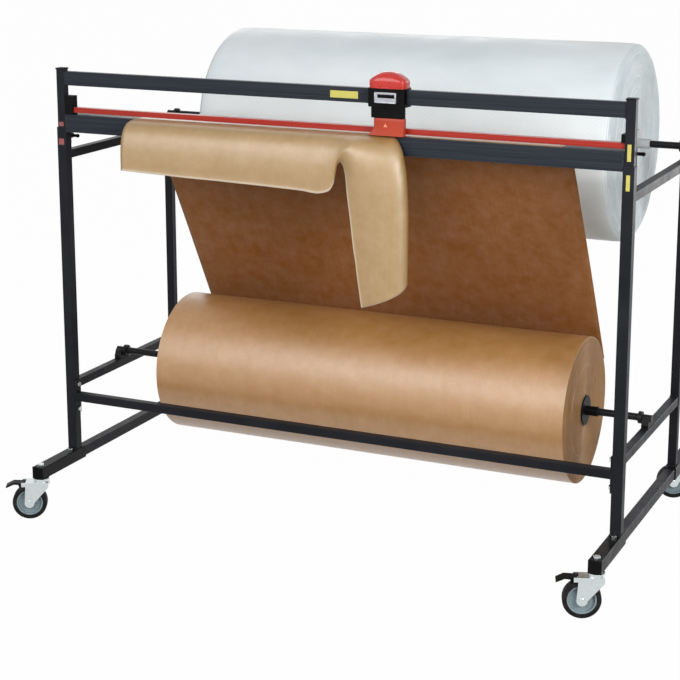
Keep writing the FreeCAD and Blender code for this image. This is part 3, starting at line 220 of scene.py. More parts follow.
def add_node(tree, kind, inputs=None, **settings):
    """A node with its settings. Each input is linked where it comes from a socket."""
    made = tree.nodes.new(kind)
    for name, value in settings.items():
        setattr(made, name, value)
    for socket, value in (inputs or {}).items():
        if isinstance(value, bpy.types.NodeSocket):
            tree.links.new(value, made.inputs[socket])
        else:
            made.inputs[socket].default_value = value
    return made


def darker(colour, share):
    return tuple(c * share for c in colour)


def lighter(colour, share):
    return tuple(c + (1 - c) * share for c in colour)


class Finish:
    """One procedural material, built node by node on object coordinates in metres."""

    def __init__(self, name, colour, **uniform):
        self.colour = colour
        self.material = bpy.data.materials.new(name)
        self.material.use_nodes = True
        self.tree = self.material.node_tree
        self.shader = self.tree.nodes["Principled BSDF"]
        self.place = self.add("ShaderNodeTexCoord").outputs["Object"]
        for socket, value in uniform.items():
            self.shader.inputs[SOCKETS[socket]].default_value = value

    def add(self, kind, inputs=None, **settings):
        return add_node(self.tree, kind, inputs, **settings)

    def stretched(self, stretch):
        if stretch == (1, 1, 1):
            return self.place
        return self.add("ShaderNodeMapping", {"Vector": self.place, "Scale": stretch}).outputs[0]

    def noise(self, scale, detail, roughness, stretch=(1, 1, 1)):
        return self.add("ShaderNodeTexNoise", {"Vector": self.stretched(stretch), "Scale": scale,
                                               "Detail": detail,
                                               "Roughness": roughness}).outputs["Fac"]

    def cells(self, scale):
        return self.add("ShaderNodeTexVoronoi", {"Vector": self.place,
                                                 "Scale": scale}).outputs["Distance"]

    def spread(self, value, low, high, to_low=0.0, to_high=1.0):
        """Map a value's range to another one, with its ends held."""
        return self.add("ShaderNodeMapRange", {"Value": value, "From Min": low, "From Max": high,
                                               "To Min": to_low,
                                               "To Max": to_high}).outputs["Result"]

    def clouds(self, scale, detail, grain, low=0.3, high=0.7, to_low=0.0, to_high=1.0,
               stretch=(1, 1, 1)):
        """Noise whose values from low to high are spread over another range."""
        return self.spread(self.noise(scale, detail, grain, stretch), low, high, to_low,
                           to_high)

    def math(self, operation, *values):
        return self.add("ShaderNodeMath", dict(enumerate(values)),
                        operation=operation).outputs[0]

    def vector(self, operation, *values):
        made = self.add("ShaderNodeVectorMath", dict(enumerate(values)), operation=operation)
        return made.outputs["Value" if operation in ("LENGTH", "DOT_PRODUCT") else "Vector"]

    def blend(self, share, one, other):
        one, other = (c if isinstance(c, bpy.types.NodeSocket) else (*c[:3], 1)
                      for c in (one, other))
        return self.add("ShaderNodeMix", {"Factor": share, 6: one, 7: other},
                        data_type="RGBA").outputs[2]

    def soft_edges(self, radius):
        return self.add("ShaderNodeBevel", {"Radius": radius}, samples=6).outputs["Normal"]

    def edge_share(self, radius):
        """1 on a hard edge, 0 away from it."""
        soft = self.soft_edges(radius)
        true = self.add("ShaderNodeNewGeometry").outputs["Normal"]
        flat, turned = 0.995, 0.80
        return self.spread(self.vector("DOT_PRODUCT", soft, true), flat, turned)

    def shades(self, share, dark, pale):
        """The finish's colour, from a darker shade to a paler one."""
        return self.blend(share, darker(self.colour, dark), lighter(self.colour, pale))

    def worn(self, base, radius, patches, pale):
        """Paler hard edges, where the patches let them show."""
        return self.blend(self.math("MULTIPLY", self.edge_share(radius), patches), base,
                          lighter(self.colour, pale))

    def finished(self, base, rough, height, depth, strength, edges=0.0):
        """The material, with a relief of some depth, over softened edges if they are given."""
        relief = {"Height": height, "Distance": depth, "Strength": strength}
        if edges:
            relief["Normal"] = self.soft_edges(edges)
        bump = self.add("ShaderNodeBump", relief).outputs["Normal"]
        for socket, value in (("colour", base), ("roughness", rough), ("normal", bump)):
            self.tree.links.new(value, self.shader.inputs[SOCKETS[socket]])
        return self.material


def powder_coat(name, colour, roughness=0.42):
    """Satin powder coat: orange peel, faint cloudiness, dust and rubbed edges."""
    made = Finish(name, colour, specular=0.10)
    base = made.shades(made.clouds(7, 4, 0.6, 0.35), 0.85, 0.005)
    base = made.worn(base, 0.0016, made.clouds(60, 4, 0.7, 0.42, 0.68, 0, 0.45), 0.18)
    specks = made.clouds(900, 1, 0.4, 0.70, 0.78, 0, 0.25)
    base = made.blend(specks, base, lighter(colour, 0.14))
    rough = made.clouds(23, 5, 0.7, 0.3, 0.75, roughness - 0.07, roughness + 0.12)
    return made.finished(base, rough, made.noise(520, 2, 0.5), 0.00018, 0.55, 0.0009)


def zinc_plate(name, colour):
    """Bright zinc: soft spangle, stains, fine rolling lines and softened edges."""
    made = Finish(name, colour, metallic=1.0)
    base = made.blend(made.spread(made.cells(160), 0.1, 0.8), colour, darker(colour, 0.93))
    stain = made.clouds(45, 5, 0.65, 0.5, 0.75, 0, 0.3)
    base = made.blend(stain, base, darker(colour, 0.72))
    rough = made.clouds(60, 3, 0.5, 0.3, 0.7, 0.22, 0.34)
    return made.finished(base, rough, made.noise(700, 2, 0.5, (1, 1, 0.12)), 0.00008, 0.5,
                         0.0006)


def coated_extrusion(name, colour, roughness, coat=0.0):
    """Coated aluminium drawn along X: long fine draw lines under an even colour."""
    made = Finish(name, colour, specular=0.12, coat=coat, coat_roughness=0.2)
    lines = made.noise(420, 3, 0.6, (0.006, 1, 1))
    base = made.shades(made.spread(lines, 0.35, 0.65), 0.86, 0.014)
    patches = made.clouds(35, 4, 0.7, 0.4, 0.65, 0, 0.6, (0.4, 1, 1))
    base = made.worn(base, 0.0013, patches, 0.20)
    rough = made.clouds(30, 4, 0.6, 0.3, 0.7, roughness - 0.06, roughness + 0.10, (0.2, 1, 1))
    return made.finished(base, rough, lines, 0.00012, 0.5, 0.0008)


def moulded_plastic(name, colour, roughness, grain, coat=0.0, specular=0.07):
    """Moulded plastic: spark-eroded grain, faint flow marks and polished edges."""
    made = Finish(name, colour, specular=specular, coat=coat, coat_roughness=0.12)
    base = made.shades(made.clouds(14, 3, 0.5, 0.35), 0.88, 0.003)
    base = made.worn(base, 0.0015, made.clouds(90, 3, 0.6, 0.45, 0.7, 0, 0.5), 0.07)
    rough = made.clouds(70, 4, 0.6, 0.3, 0.75, roughness - 0.05, roughness + 0.11)
    return made.finished(base, rough, made.noise(1400, 2, 0.6), 0.0001, grain, 0.0009)


def kraft_paper(name, colour, gloss, fibre_and_highlight_band=0.0):
    """Kraft paper: machine lines round the roll, clouded fibre, flecks and, on its glazed
    side, a soft gloss. A sheet whose UV map gives the distance to its edges also shows a
    pale band along them: partly their cut fibre, partly a painted highlight where the
    curled edge catches the light."""
    made = Finish(name, colour, specular=gloss, coat=gloss, coat_roughness=0.44)
    base = made.shades(made.clouds(26, 5, 0.65, 0.3, 0.72), 0.87, 0.05)
    lines = made.noise(230, 3, 0.6, (1, 0.02, 0.02))
    base = made.blend(made.spread(lines, 0.35, 0.7, 0, 0.32), base, darker(colour, 0.78))
    fibre = made.noise(950, 4, 0.75, (0.35, 1, 1))
    base = made.blend(made.spread(fibre, 0.55, 0.72, 0, 0.45), base, darker(colour, 0.66))
    fleck = made.clouds(330, 2, 0.5, 0.70, 0.76, 0, 0.5)
    base = made.blend(fleck, base, lighter(colour, 0.25))
    # Pale band along the cut edges: partly the cut fibre, partly a painted highlight of the curled edge.
    if fibre_and_highlight_band:
        flat = made.add("ShaderNodeTexCoord").outputs["UV"]
        inward = made.add("ShaderNodeSeparateXYZ", {0: flat}).outputs["X"]
        ragged = made.math("MULTIPLY_ADD", fibre, 0.6 * fibre_and_highlight_band, inward)
        base = made.blend(made.spread(ragged, 1.1 * fibre_and_highlight_band, 0.5 * fibre_and_highlight_band, 0, 0.8), base,
                          lighter(colour, 0.32))
    rough = made.clouds(55, 4, 0.6, 0.3, 0.7, 0.44, 0.54)
    relief = made.math("ADD", fibre, made.math("MULTIPLY", lines, 0.8))
    return made.finished(base, rough, relief, 0.00014, 0.6)


def core_board(name, colour):
    """Wound paperboard: spiral plies."""
    made = Finish(name, colour, specular=0.25)
    plies = made.noise(380, 4, 0.7, (0.25, 1, 1))
    base = made.shades(made.spread(plies, 0.35, 0.68), 0.7, 0.06)
    return made.finished(base, made.spread(plies, 0.3, 0.7, 0.78, 0.95), plies, 0.0003, 0.6)


def bubble_film(name, colour, shade, pitch):
    """Milky bubble film: round bubbles in staggered rows, clouds of a darker shade that are
    partly the uneven layers and partly painted shade, and a soft gloss.
    """
    made = Finish(name, colour, specular=0.4)
    flat = made.add("ShaderNodeTexCoord").outputs["UV"]
    row = math.sqrt(3)
    nearest = None
    for shift in ((0, 0, 0), (0.5, 0.5, 0)):
        tiles = made.vector("MULTIPLY_ADD", flat, (1 / pitch, 1 / (pitch * row), 1), shift)
        inside = made.vector("SUBTRACT", made.vector("FRACTION", tiles), (0.5, 0.5, 0))
        away = made.vector("LENGTH", made.vector("MULTIPLY", inside, (1, row, 0)))
        nearest = away if nearest is None else made.math("MINIMUM", nearest, away)
    dome = made.spread(nearest, 0.46, 0.10)
    # Darker bluish clouds: partly the film's uneven layers, partly painted shade.
    base = made.blend(made.clouds(5, 4, 0.6, 0.32, 0.70, stretch=(0.5, 1, 1)), shade, colour)
    base = made.blend(made.clouds(3.1, 3, 0.5, 0.4, 0.72, 0, 0.55, (0.15, 1, 1)), base,
                      lighter(colour, 0.45))
    base = made.blend(made.math("MULTIPLY", dome, 0.15), base, lighter(colour, 0.5))
    rough = made.clouds(18, 3, 0.6, 0.3, 0.7, 0.36, 0.50)
    return made.finished(base, rough, dome, 0.0005, 0.22)


def film_layers(name, colour, axis, layer):
    """Ends of the wound film: the edges of its layers, ring by ring, with air between."""
    made = Finish(name, colour, specular=0.3)
    aside = made.vector("SUBTRACT", made.place, (0, axis.y, axis.z))
    out = made.vector("LENGTH", made.vector("MULTIPLY", aside, (0, 1, 1)))
    wavering = made.math("MULTIPLY_ADD", made.noise(9, 3, 0.5), 1.5 * layer, out)
    turn = made.math("FRACT", made.math("DIVIDE", wavering, layer))
    gap = made.math("ABSOLUTE", made.math("SUBTRACT", turn, 0.5))
    base = made.blend(made.spread(gap, 0.30, 0.5, 0, 0.4), colour, darker(colour, 0.84))
    cloud = made.clouds(14, 4, 0.6, 0.35, 0.7, 0, 0.5)
    base = made.blend(cloud, base, lighter(colour, 0.35))
    rough = made.clouds(60, 3, 0.6, 0.3, 0.7, 0.45, 0.65)
    return made.finished(base, rough, gap, 0.0004, 0.4)


def tyre_rubber(name, colour):
    """Dusty rubber."""
    made = Finish(name, colour, specular=0.15)
    dust = made.clouds(38, 5, 0.7, 0.42, 0.75, 0, 0.4)
    base = made.blend(dust, colour, lighter(colour, 0.05))
    rough = made.clouds(90, 4, 0.6, 0.3, 0.7, 0.55, 0.78)
    return made.finished(base, rough, made.noise(800, 3, 0.6), 0.0002, 0.6, 0.001)


def brushed_plate(name, colour, roughness=0.3, turning=(0.02, 1, 1)):
    """Metal with fine lines, along X unless they turn with the plate."""
    made = Finish(name, colour, metallic=1.0)
    lines = made.noise(900, 3, 0.6, turning)
    base = made.shades(made.spread(lines, 0.3, 0.7), 0.82, 0.1)
    rough = made.clouds(60, 3, 0.5, 0.3, 0.7, roughness - 0.06, roughness + 0.12)
    return made.finished(base, rough, lines, 0.00008, 0.5)


def label_vinyl(name, colour):
    """Printed film with some grime."""
    made = Finish(name, colour, specular=0.45)
    grime = made.clouds(120, 4, 0.7, 0.45, 0.75, 0, 0.4)
    base = made.blend(grime, colour, darker(colour, 0.72))
    rough = made.clouds(200, 3, 0.6, 0.3, 0.7, 0.38, 0.55)
    return made.finished(base, rough, made.noise(500, 2, 0.5), 0.0001, 0.4)


FINISHES = {}


def finish(name):
    """A finish made by the first operator."""
    if name not in FINISHES:
        raise RuntimeError(f"make the finishes first: there is no finish {name}")
    return FINISHES[name]


def make_finishes(settings):
    metal, paper, film, unit = settings.frame, settings.paper, settings.film, settings.carriage
    FINISHES.update({
        "frame_paint": powder_coat("satin anthracite coat", metal.paint),
        "sleeve_paint": powder_coat("satin black coat", metal.sleeve, 0.38),
        "cap_plastic": moulded_plastic("black cap plastic", unit.black, 0.5, 0.5),
        "zinc_steel": zinc_plate("bright zinc", metal.zinc),
        "dark_aluminium": coated_extrusion("anthracite extrusion", unit.rail, 0.40),
        "red_aluminium": coated_extrusion("red lacquered extrusion", unit.red_rail, 0.30, 0.4),
        "black_plastic": moulded_plastic("black housing plastic", unit.black, 0.42, 0.6),
        "pale_plastic": moulded_plastic("natural pale plastic", unit.natural, 0.5, 0.5),
        "shoe_plastic": moulded_plastic("shoe plastic", unit.shoe, 0.40, 0.5, 0.1, 0.3),
        # The raised pointer is only drawn paler than the shoe around it.
        "pointer_mark": label_vinyl("pale pointer", unit.pointer),
        # 0.005 is the strip's pale edge band: partly cut fibre, partly painted highlight.
        "cut_paper": kraft_paper("glazed kraft paper, cut", paper.strip, 1.0, 0.005),
        "red_plastic": moulded_plastic("red housing plastic", unit.red, 0.27, 0.2, 0.35, 0.4),
        "label_metal": brushed_plate("blank plate", unit.label),
        "blade_steel": brushed_plate("ground blade", unit.steel, 0.22, (1, 1, 1)),
        "axle_steel": powder_coat("blackened axle", metal.axle, 0.34),
        "kraft_paper": kraft_paper("glazed kraft paper", paper.kraft, 1.0),
        # The paper's other side: partly its own tone, partly painted shade of the web.
        "rough_kraft": kraft_paper("unglazed kraft paper", paper.unglazed_with_shade, 0.10),
        # Layer edges: partly their own tone, partly painted shade of the roll's ends.
        "kraft_layers": kraft_paper("kraft layer edges", paper.layers, 0.15),
        "core_board": core_board("core board", paper.board),
        "bubble_film": bubble_film("bubble film", film.film, film.shade, film.bubble_pitch),
        "film_layers": film_layers("film layers", film.edge, FILM_AXIS, film.layer),
        "hub_plastic": moulded_plastic("wheel centre plastic", metal.hub, 0.45, 0.4),
        "tyre_rubber": tyre_rubber("tyre rubber", metal.rubber),
        "yellow_label": label_vinyl("yellow label", unit.yellow),
        "red_mark": label_vinyl("pale red mark", unit.mark),
    })
    for name, node in frame["nodes"].items():
        for slot in node.material_slots:
            slot.material = FINISHES[SLOT_OF[name]]


# ---- Mesh helpers ------------------------------------------------------------------

def piece(name, points, faces, look, body, slot=None, sharp=35.0):
    """A named mesh piece, smooth except at its hard edges, that rides on a body if one is
    given."""
    mesh = bpy.data.meshes.new(name)
    mesh.from_pydata([tuple(p) for p in points], [], faces)
    mesh.validate()
    made = bpy.data.objects.new(name, mesh)
    bpy.context.scene.collection.objects.link(made)
    mesh.shade_smooth()
    mesh.set_sharp_from_angle(angle=math.radians(sharp))
    mesh.materials.append(finish(look))
    if body:
        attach(made, body)
    return made


def circle_angles(count):
    """The angles of equal steps round a circle."""
    return [2 * math.pi * k / count for k in range(count)]


def fan_faces(first, count, tip):
    """Triangles from a ring of points to the point that closes it."""
    return [(first + k, first + (k + 1) % count, tip) for k in range(count)]


def grid_faces(rows, columns, wrap_rows=False, wrap_columns=False):
    """Quads of a grid of points stored row by row."""
    faces = []
    for i in range(rows if wrap_rows else rows - 1):
        for j in range(columns if wrap_columns else columns - 1):
            k, n = (i + 1) % rows, (j + 1) % columns
            faces.append((i * columns + j, i * columns + n, k * columns + n, k * columns + j))
    return faces


def ends_look(made, look, share=0.45):
    """Finish the faces that look along X as the ends of a roll."""
    made.data.materials.append(finish(look))
    for polygon in made.data.polygons:
        polygon.material_index = 1 if abs(polygon.normal.x) > share else 0


def thicken(made, thickness, other_side):
    """Give a sheet its thickness, keep it in the mesh and finish its other side."""
    made.data.materials.append(finish(other_side))
    modifier = made.modifiers.new("paper", "SOLIDIFY")
    modifier.thickness = thickness
    modifier.offset = 0
    modifier.use_even_offset = False
    modifier.material_offset = 1
    graph = bpy.context.evaluated_depsgraph_get()
    made.modifiers.update()
    solid = bpy.data.meshes.new_from_object(made.evaluated_get(graph))
    made.modifiers.clear()
    made.data = solid


def lathe(profile, axis, segments, wobble=None):
    """Points and faces of a closed profile of (x, radius) turned about a line along X."""
    points = []
    for x, radius in profile:
        for angle in circle_angles(segments):
            r = radius + (wobble(x, radius, angle) if wobble else 0)
            points.append((x, axis.y + r * math.sin(angle), axis.z + r * math.cos(angle)))
    return points, grid_faces(len(profile), segments, wrap_rows=True, wrap_columns=True)


def add_uv(made, place, turn):
    """A UV map in metres, worked out from each corner's point and whole at the turn's seam."""
    layer = made.data.uv_layers.new(name="flat")
    for polygon in made.data.polygons:
        spots = [place(made.data.vertices[made.data.loops[i].vertex_index].co)
                 for i in polygon.loop_indices]
        wide = max(u for u, _ in spots) - min(u for u, _ in spots)
        for i, (u, v) in zip(polygon.loop_indices, spots):
            layer.data[i].uv = (u + turn if wide > turn / 2 and u < 0 else u, v)


def soft_noise(*place):
    """Smooth noise from -1 to 1."""
    return noise.noise(Vector(place))


# ---- Paper -------------------------------------------------------------------------

def roll_face(x, inward, inner, outer, rings, uneven, groove):
    """Profile across one end of a roll, from its core to its rim, ring by ring."""
    profile = []
    step = (outer - inner) / rings
    flat_from, flat_to = 0.25, 0.8
    for ring in range(rings):
        shift = uneven * (0.7 * soft_noise(ring * 0.31, x * 3, 2.0)
                          + 0.5 * soft_noise(ring * 1.7, x * 5, 7.0))
        start = inner + ring * step
        profile.append((x + inward * (groove + uneven + shift), start))
        profile.append((x + inward * (uneven + shift), start + flat_from * step))
        profile.append((x + inward * (uneven + shift), start + flat_to * step))
    return profile


def build_paper_roll(settings):
    paper = settings.paper
    radius = ROLL_HIGH.z - ROLL_AXIS.z
    rim = groove = 0.0012
    left, right = (roll_face(x, inward, CORE_RADIUS, radius - rim, paper.roll_rings,
                             paper.telescoping, groove)
                   for x, inward in ((ROLL_LOW.x, 1), (ROLL_HIGH.x, -1)))
    edge, spans, turns = 0.0016, 40, 176
    body = [(ROLL_LOW.x + edge + (ROLL_HIGH.x - ROLL_LOW.x - 2 * edge) * i / spans, radius)
            for i in range(spans + 1)]

    def wobble(x, r, angle):
        full = (r - CORE_RADIUS) / (radius - CORE_RADIUS)
        dent = 0.0006
        uneven = dent * soft_noise(x * 4, 2 * math.sin(angle), 2 * math.cos(angle))
        ridge = 0.0003 * soft_noise(x * 40, 1.0, 4.0)
        return -full * (dent + uneven + abs(ridge))

    points, faces = lathe(left + body + right[::-1], ROLL_AXIS, turns, wobble)
    made = piece("kraft_roll", points, faces, "kraft_paper", "paper_supply", "kraft_paper", 28)
    ends_look(made, "kraft_layers")
    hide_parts("paper_roll")


def web_path(radius):
    """Y and Z of the web: its run from the roll's rear up to the beam, and its way over the
    beam to the cut."""
    clear, below, lift = 0.0006, 0.001, 0.0005
    run_steps, flat_steps, bend = 44, 6, 0.006
    edge = Vector((BEAM_HIGH.y + clear, BEAM_HIGH.z - below))
    centre = Vector((ROLL_AXIS.y, ROLL_AXIS.z))
    away = edge - centre
    turn = math.atan2(away.y, away.x) - math.acos(radius / away.length)
    touch = centre + radius * Vector((math.cos(turn), math.sin(turn)))
    run = [touch.lerp(edge, i / run_steps) for i in range(run_steps + 1)]
    over = [Vector((edge.x - bend * (1 - math.cos(a)),
                    edge.y + bend * math.sin(a) - bend + (below + lift)))
            for a in (0.4, 0.8, 1.2, math.pi / 2)]
    flat = [Vector((over[-1].x + (WEB_LOW.y - over[-1].x) * i / flat_steps,
                    BEAM_HIGH.z + lift)) for i in range(1, flat_steps + 1)]
    return run, over + flat


def build_paper_web(settings):
    paper = settings.paper
    off_roll, columns, held_below_beam = 0.0004, 90, 0.02
    run, flat = web_path(ROLL_HIGH.z - ROLL_AXIS.z + off_roll)
    path = run + flat
    points = []
    for i, spot in enumerate(path):
        share = i / (len(run) - 1) if i < len(run) else 1.0
        loose = math.sin(math.pi * min(1.0, share))
        for j in range(columns + 1):
            x = WEB_LOW.x + (WEB_HIGH.x - WEB_LOW.x) * j / columns
            wave = soft_noise(x * 3.2, share * 1.1, 3.0) + 0.35 * soft_noise(x * 11, share, 9.0)
            back = loose * (paper.web_ripple * wave + paper.web_sag)
            points.append((x, spot.x + back, spot.y))
    outward = [face[::-1] for face in grid_faces(len(path), columns + 1)]
    made = piece("kraft_web", points, outward, "kraft_paper", None, "kraft_paper", 60)
    thicken(made, paper.thickness, "rough_kraft")
    # The web's foot stays on the roll when the cutting unit rises.
    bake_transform(made)
    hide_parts("paper_web")


def strip_stations(paper):
    """Sections of the cut strip, from its left end to the tail's tip. Each is how far
    along the strip it stands, then the cut edge, two shaping points and the free edge, in
    millimetres: X from the middle of the posts, Y back from the posts' faces and Z up from
    the beam's top."""
    left = (STRIP_LOW.x - MIDDLE_X) / MM
    notch = paper.notch_up / MM
    flat = 0.4
    return [
        (0, (left, 7.4, flat), (left, -62, flat), (left, -79, -27), (left, -76, -134)),
        (200, (-390, 7.4, flat), (-390, -62, flat), (-391, -79, -27), (-391, -76, -140)),
        (400, (-190, 7.4, flat), (-190, -63, flat), (-191, -80, -27), (-191, -76, -144)),
        (560, (-30, 7.4, flat), (-30, -63, flat), (-31, -80, -27), (-32, -76, -149)),
        (620, (30, 7.4, flat), (30, -63, 1), (29, -81, -26), (30, -76, -151)),
        (642, (52, 7.4, flat), (51, -64, 1), (49, -83, -26), (51, -74, -143)),
        (662, (72, 7.4, flat), (70, -65, 2), (61, -85, -26), (61, -70, -126)),
        (683, (92, 7.4, flat), (90, -66, 2), (70, -88, -26), (64, -66, -105)),
        (704, (112, 7.4, flat), (111, -68, 3), (80, -92, -26), (67, -63, -84)),
        (718, (126, 7.4, flat), (126, -70, 3), (89, -95, -27), (71, -62, -71)),
        (726, (134, 7.4, flat), (136, -71, 3), (96, -97, -29), (77, -62, -notch)),
        (735, (142, 7.4, flat), (148, -72, 2), (104, -98, -32), (84, -63, -73)),
        (754, (160, 7.4, flat), (176, -73, 0), (123, -100, -45), (92, -67, -91)),
        (779, (182, 6.5, flat), (206, -74, -4), (145, -100, -66), (98, -71, -118)),
        (806, (204, 3.0, 0), (240, -70, -12), (165, -99, -96), (103, -75, -150)),
        (840, (224, -5, -22), (271, -66, -44), (179, -97, -137), (108, -76, -186)),
        (885, (236, -9, -66), (289, -64, -88), (190, -95, -180), (113, -76, -226)),
        (960, (243, -10, -136), (296, -64, -158), (199, -93, -252), (122, -76, -290)),
        (1110, (246, -12, -262), (298, -64, -288), (206, -92, -356), (134, -76, -378)),
        (1250, (246, -14, -372), (296, -62, -396), (214, -91, -432), (145, -75, -452)),
    ]


def smooth_between(stations, along):
    """Section at a distance along, by a cubic through the stations either side."""
    places = np.array([s[0] for s in stations], float)
    values = np.array([np.concatenate(s[1:]) for s in stations], float)
    slopes = np.gradient(values, places, axis=0)
    k = int(np.clip(np.searchsorted(places, along) - 1, 0, len(places) - 2))
    span = places[k + 1] - places[k]
    t = (along - places[k]) / span
    h = (2 * t ** 3 - 3 * t ** 2 + 1, t ** 3 - 2 * t ** 2 + t, -2 * t ** 3 + 3 * t ** 2,
         t ** 3 - t ** 2)
    return (h[0] * values[k] + h[1] * span * slopes[k] + h[2] * values[k + 1]
            + h[3] * span * slopes[k + 1]).reshape(4, 3)


def build_paper_strip(settings):
    paper = settings.paper
    stations = strip_stations(paper)
    # Sections in millimetres, closer where the strip turns down and at its free edge.
    along = np.concatenate([np.linspace(0, 600, 61)[:-1], np.linspace(600, 900, 101)[:-1],
                            np.linspace(900, 1250, 45)])
    across = [j / 42 for j in range(42)] + [0.985, 0.992, 1.0]
    deep = 0.19  # metres of paper from the cut edge to the free edge
    # Millimetres that the free edge curls to the front, from a share of the depth on, and
    # that the sheet ripples and drifts sideways.
    curl, curl_from, curl_over, ripple, drift = 1.6, 0.95, 0.05, 1.6, 0.8
    points, inward = [], []
    for a in along:
        cut, first, second, free = smooth_between(stations, a)
        for t in across:
            spot = ((1 - t) ** 3 * cut + 3 * t * (1 - t) ** 2 * first
                    + 3 * t * t * (1 - t) * second + t ** 3 * free)
            loose = t * t
            inward.append(min((1 - t) * deep, (along[-1] - a) * MM))
            spot[1] -= curl * max(0.0, (t - curl_from) / curl_over) ** 2
            spot[1] -= loose * ripple * soft_noise(a * 0.012, t * 2.0, 5.0)
            spot[0] += loose * drift * soft_noise(a * 0.01, t * 2.0, 11.0)
            points.append((MIDDLE_X + spot[0] * MM, POST_FRONT + spot[1] * MM,
                           BEAM_HIGH.z + spot[2] * MM))
    made = piece("kraft_strip", points, grid_faces(len(along), len(across)), "cut_paper",
                 "cutting_unit", "kraft_paper", 80)
    layer = made.data.uv_layers.new(name="inward")
    for loop in made.data.loops:
        layer.data[loop.index].uv = (inward[loop.vertex_index], 0)
    thicken(made, paper.thickness, "rough_kraft")
    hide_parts("paper_strip")


# ---- Bubble film -------------------------------------------------------------------

def film_face(x, inward, outer, rings, shoulder):
    """Profile across one end of the film roll: soft layers that round off at the rim."""
    profile = []
    step = (outer - FILM_CORE_RADIUS) / rings
    inset, lip_high, wander = 0.0045, 0.0022, 0.0016
    for ring in range(rings):
        start = FILM_CORE_RADIUS + ring * step
        uneven = wander * soft_noise(ring * 0.6, x * 2, 3.0)
        for share, out in ((0.0, 0.0), (0.2, 0.7), (0.5, 1.0), (0.8, 0.7)):
            r = start + share * step
            edge = max(0.0, r - (outer - shoulder)) / shoulder
            rounding = shoulder * 0.8 * (1 - math.sqrt(max(0.0, 1 - edge * edge)))
            profile.append((x + inward * (inset + uneven - lip_high * out + rounding), r))
    return profile


def build_film_roll(settings):
    film = settings.film
    radius = FILM_HIGH.z - FILM_AXIS.z
    rim = 0.0005
    left, right = (film_face(x, inward, radius - rim, film.end_rings, film.shoulder)
                   for x, inward in ((FILM_LOW.x, 1), (FILM_HIGH.x, -1)))
    start, end = left[-1][0], right[-1][0]
    spans, turns, seam_place = 64, 224, 0.62
    body = [(start + (end - start) * i / spans, radius) for i in range(1, spans)]

    def wobble(x, r, angle):
        full = max(0.0, (r - FILM_CORE_RADIUS) / (radius - FILM_CORE_RADIUS))
        seam = (angle / (2 * math.pi) + seam_place) % 1.0
        layer = film.layer * seam
        slack = 0.0014 * (1 + soft_noise(x * 5, 3 * math.sin(angle), 3 * math.cos(angle)))
        fine = 0.0002 * (1 + soft_noise(x * 14, 7 * math.sin(angle), 7 * math.cos(angle)))
        return -full * (layer + slack + fine)

    points, faces = lathe(left + body + right[::-1], FILM_AXIS, turns, wobble)
    made = piece("film_roll_wound", points, faces, "bubble_film", "film_supply", "bubble_film",
                 50)
    add_uv(made, lambda p: (math.atan2(p.y - FILM_AXIS.y, p.z - FILM_AXIS.z) * radius, p.x),
           2 * math.pi * radius)
    ends_look(made, "film_layers")
    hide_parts("film_roll")


# ---- Carriage ----------------------------------------------------------------------

def soft_plan(half_x, half_y, power, steps):
    """A rounded rectangle in plan as a superellipse."""
    spots = []
    for a in circle_angles(steps):
        c, s = math.cos(a), math.sin(a)
        spots.append((half_x * math.copysign(abs(c) ** (2 / power), c),
                      half_y * math.copysign(abs(s) ** (2 / power), s)))
    return spots


def build_dome(settings):
    """Crowned red cover: a parting lip, upright sides, one broad arch and rounded edges."""
    unit = settings.carriage
    middle = (DOME_LOW + DOME_HIGH) / 2
    half_x, half_y = (DOME_HIGH.x - DOME_LOW.x) / 2, (DOME_HIGH.y - DOME_LOW.y) / 2
    low, top = DOME_LOW.z, DOME_HIGH.z
    lip, groove, side = 0.0030, 0.0012, 0.016
    in_groove, above_groove = 0.975, 0.995
    steps, arch_steps, plan, edge = 112, 19, 4.0, 2.6
    rings = [(1.0, low), (1.0, low + lip), (in_groove, low + lip + 0.0004),
             (in_groove, low + lip + groove), (above_groove, low + lip + groove + 0.0006),
             (above_groove, low + side)]
    for k in range(1, arch_steps):
        a = math.pi / 2 * k / arch_steps
        rings.append((above_groove * math.cos(a) ** (2 / edge),
                      low + side + (top - low - side) * math.sin(a) ** (2 / edge)))

    def arched(x, y, z):
        """The crown drops towards both sides, and a little to the front and the back."""
        share = max(0.0, (z - low - side) / (top - low - side))
        drop = unit.crown * abs(x / half_x) ** 2.2 + 0.3 * unit.crown * (y / half_y) ** 2
        return z - drop * share

    points = []
    for scale, z in rings:
        for x, y in soft_plan(half_x * scale, half_y * scale, plan, steps):
            points.append((middle.x + x, middle.y + y, arched(x, y, z)))
    faces = grid_faces(len(rings), steps, wrap_columns=True)
    points.append((middle.x, middle.y, top))
    faces += fan_faces((len(rings) - 1) * steps, steps, len(points) - 1)
    # The hollow underneath: its rim, its draught and its flat ceiling.
    inner, wall, draught = len(points), 0.0025, 2.4
    for depth, z in ((wall, low), (draught * wall, low + side)):
        for x, y in soft_plan(half_x - depth, half_y - depth, plan, steps):
            points.append((middle.x + x, middle.y + y, z))
    for k in range(steps):
        n = (k + 1) % steps
        faces.append((k, inner + k, inner + n, n))
        faces.append((inner + k, inner + steps + k, inner + steps + n, inner + n))
    faces.append(tuple(inner + steps + k for k in range(steps)))
    made = piece("dome_cover", points, faces, "red_plastic", "carriage", "red_plastic", 40)
    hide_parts("carriage_dome")


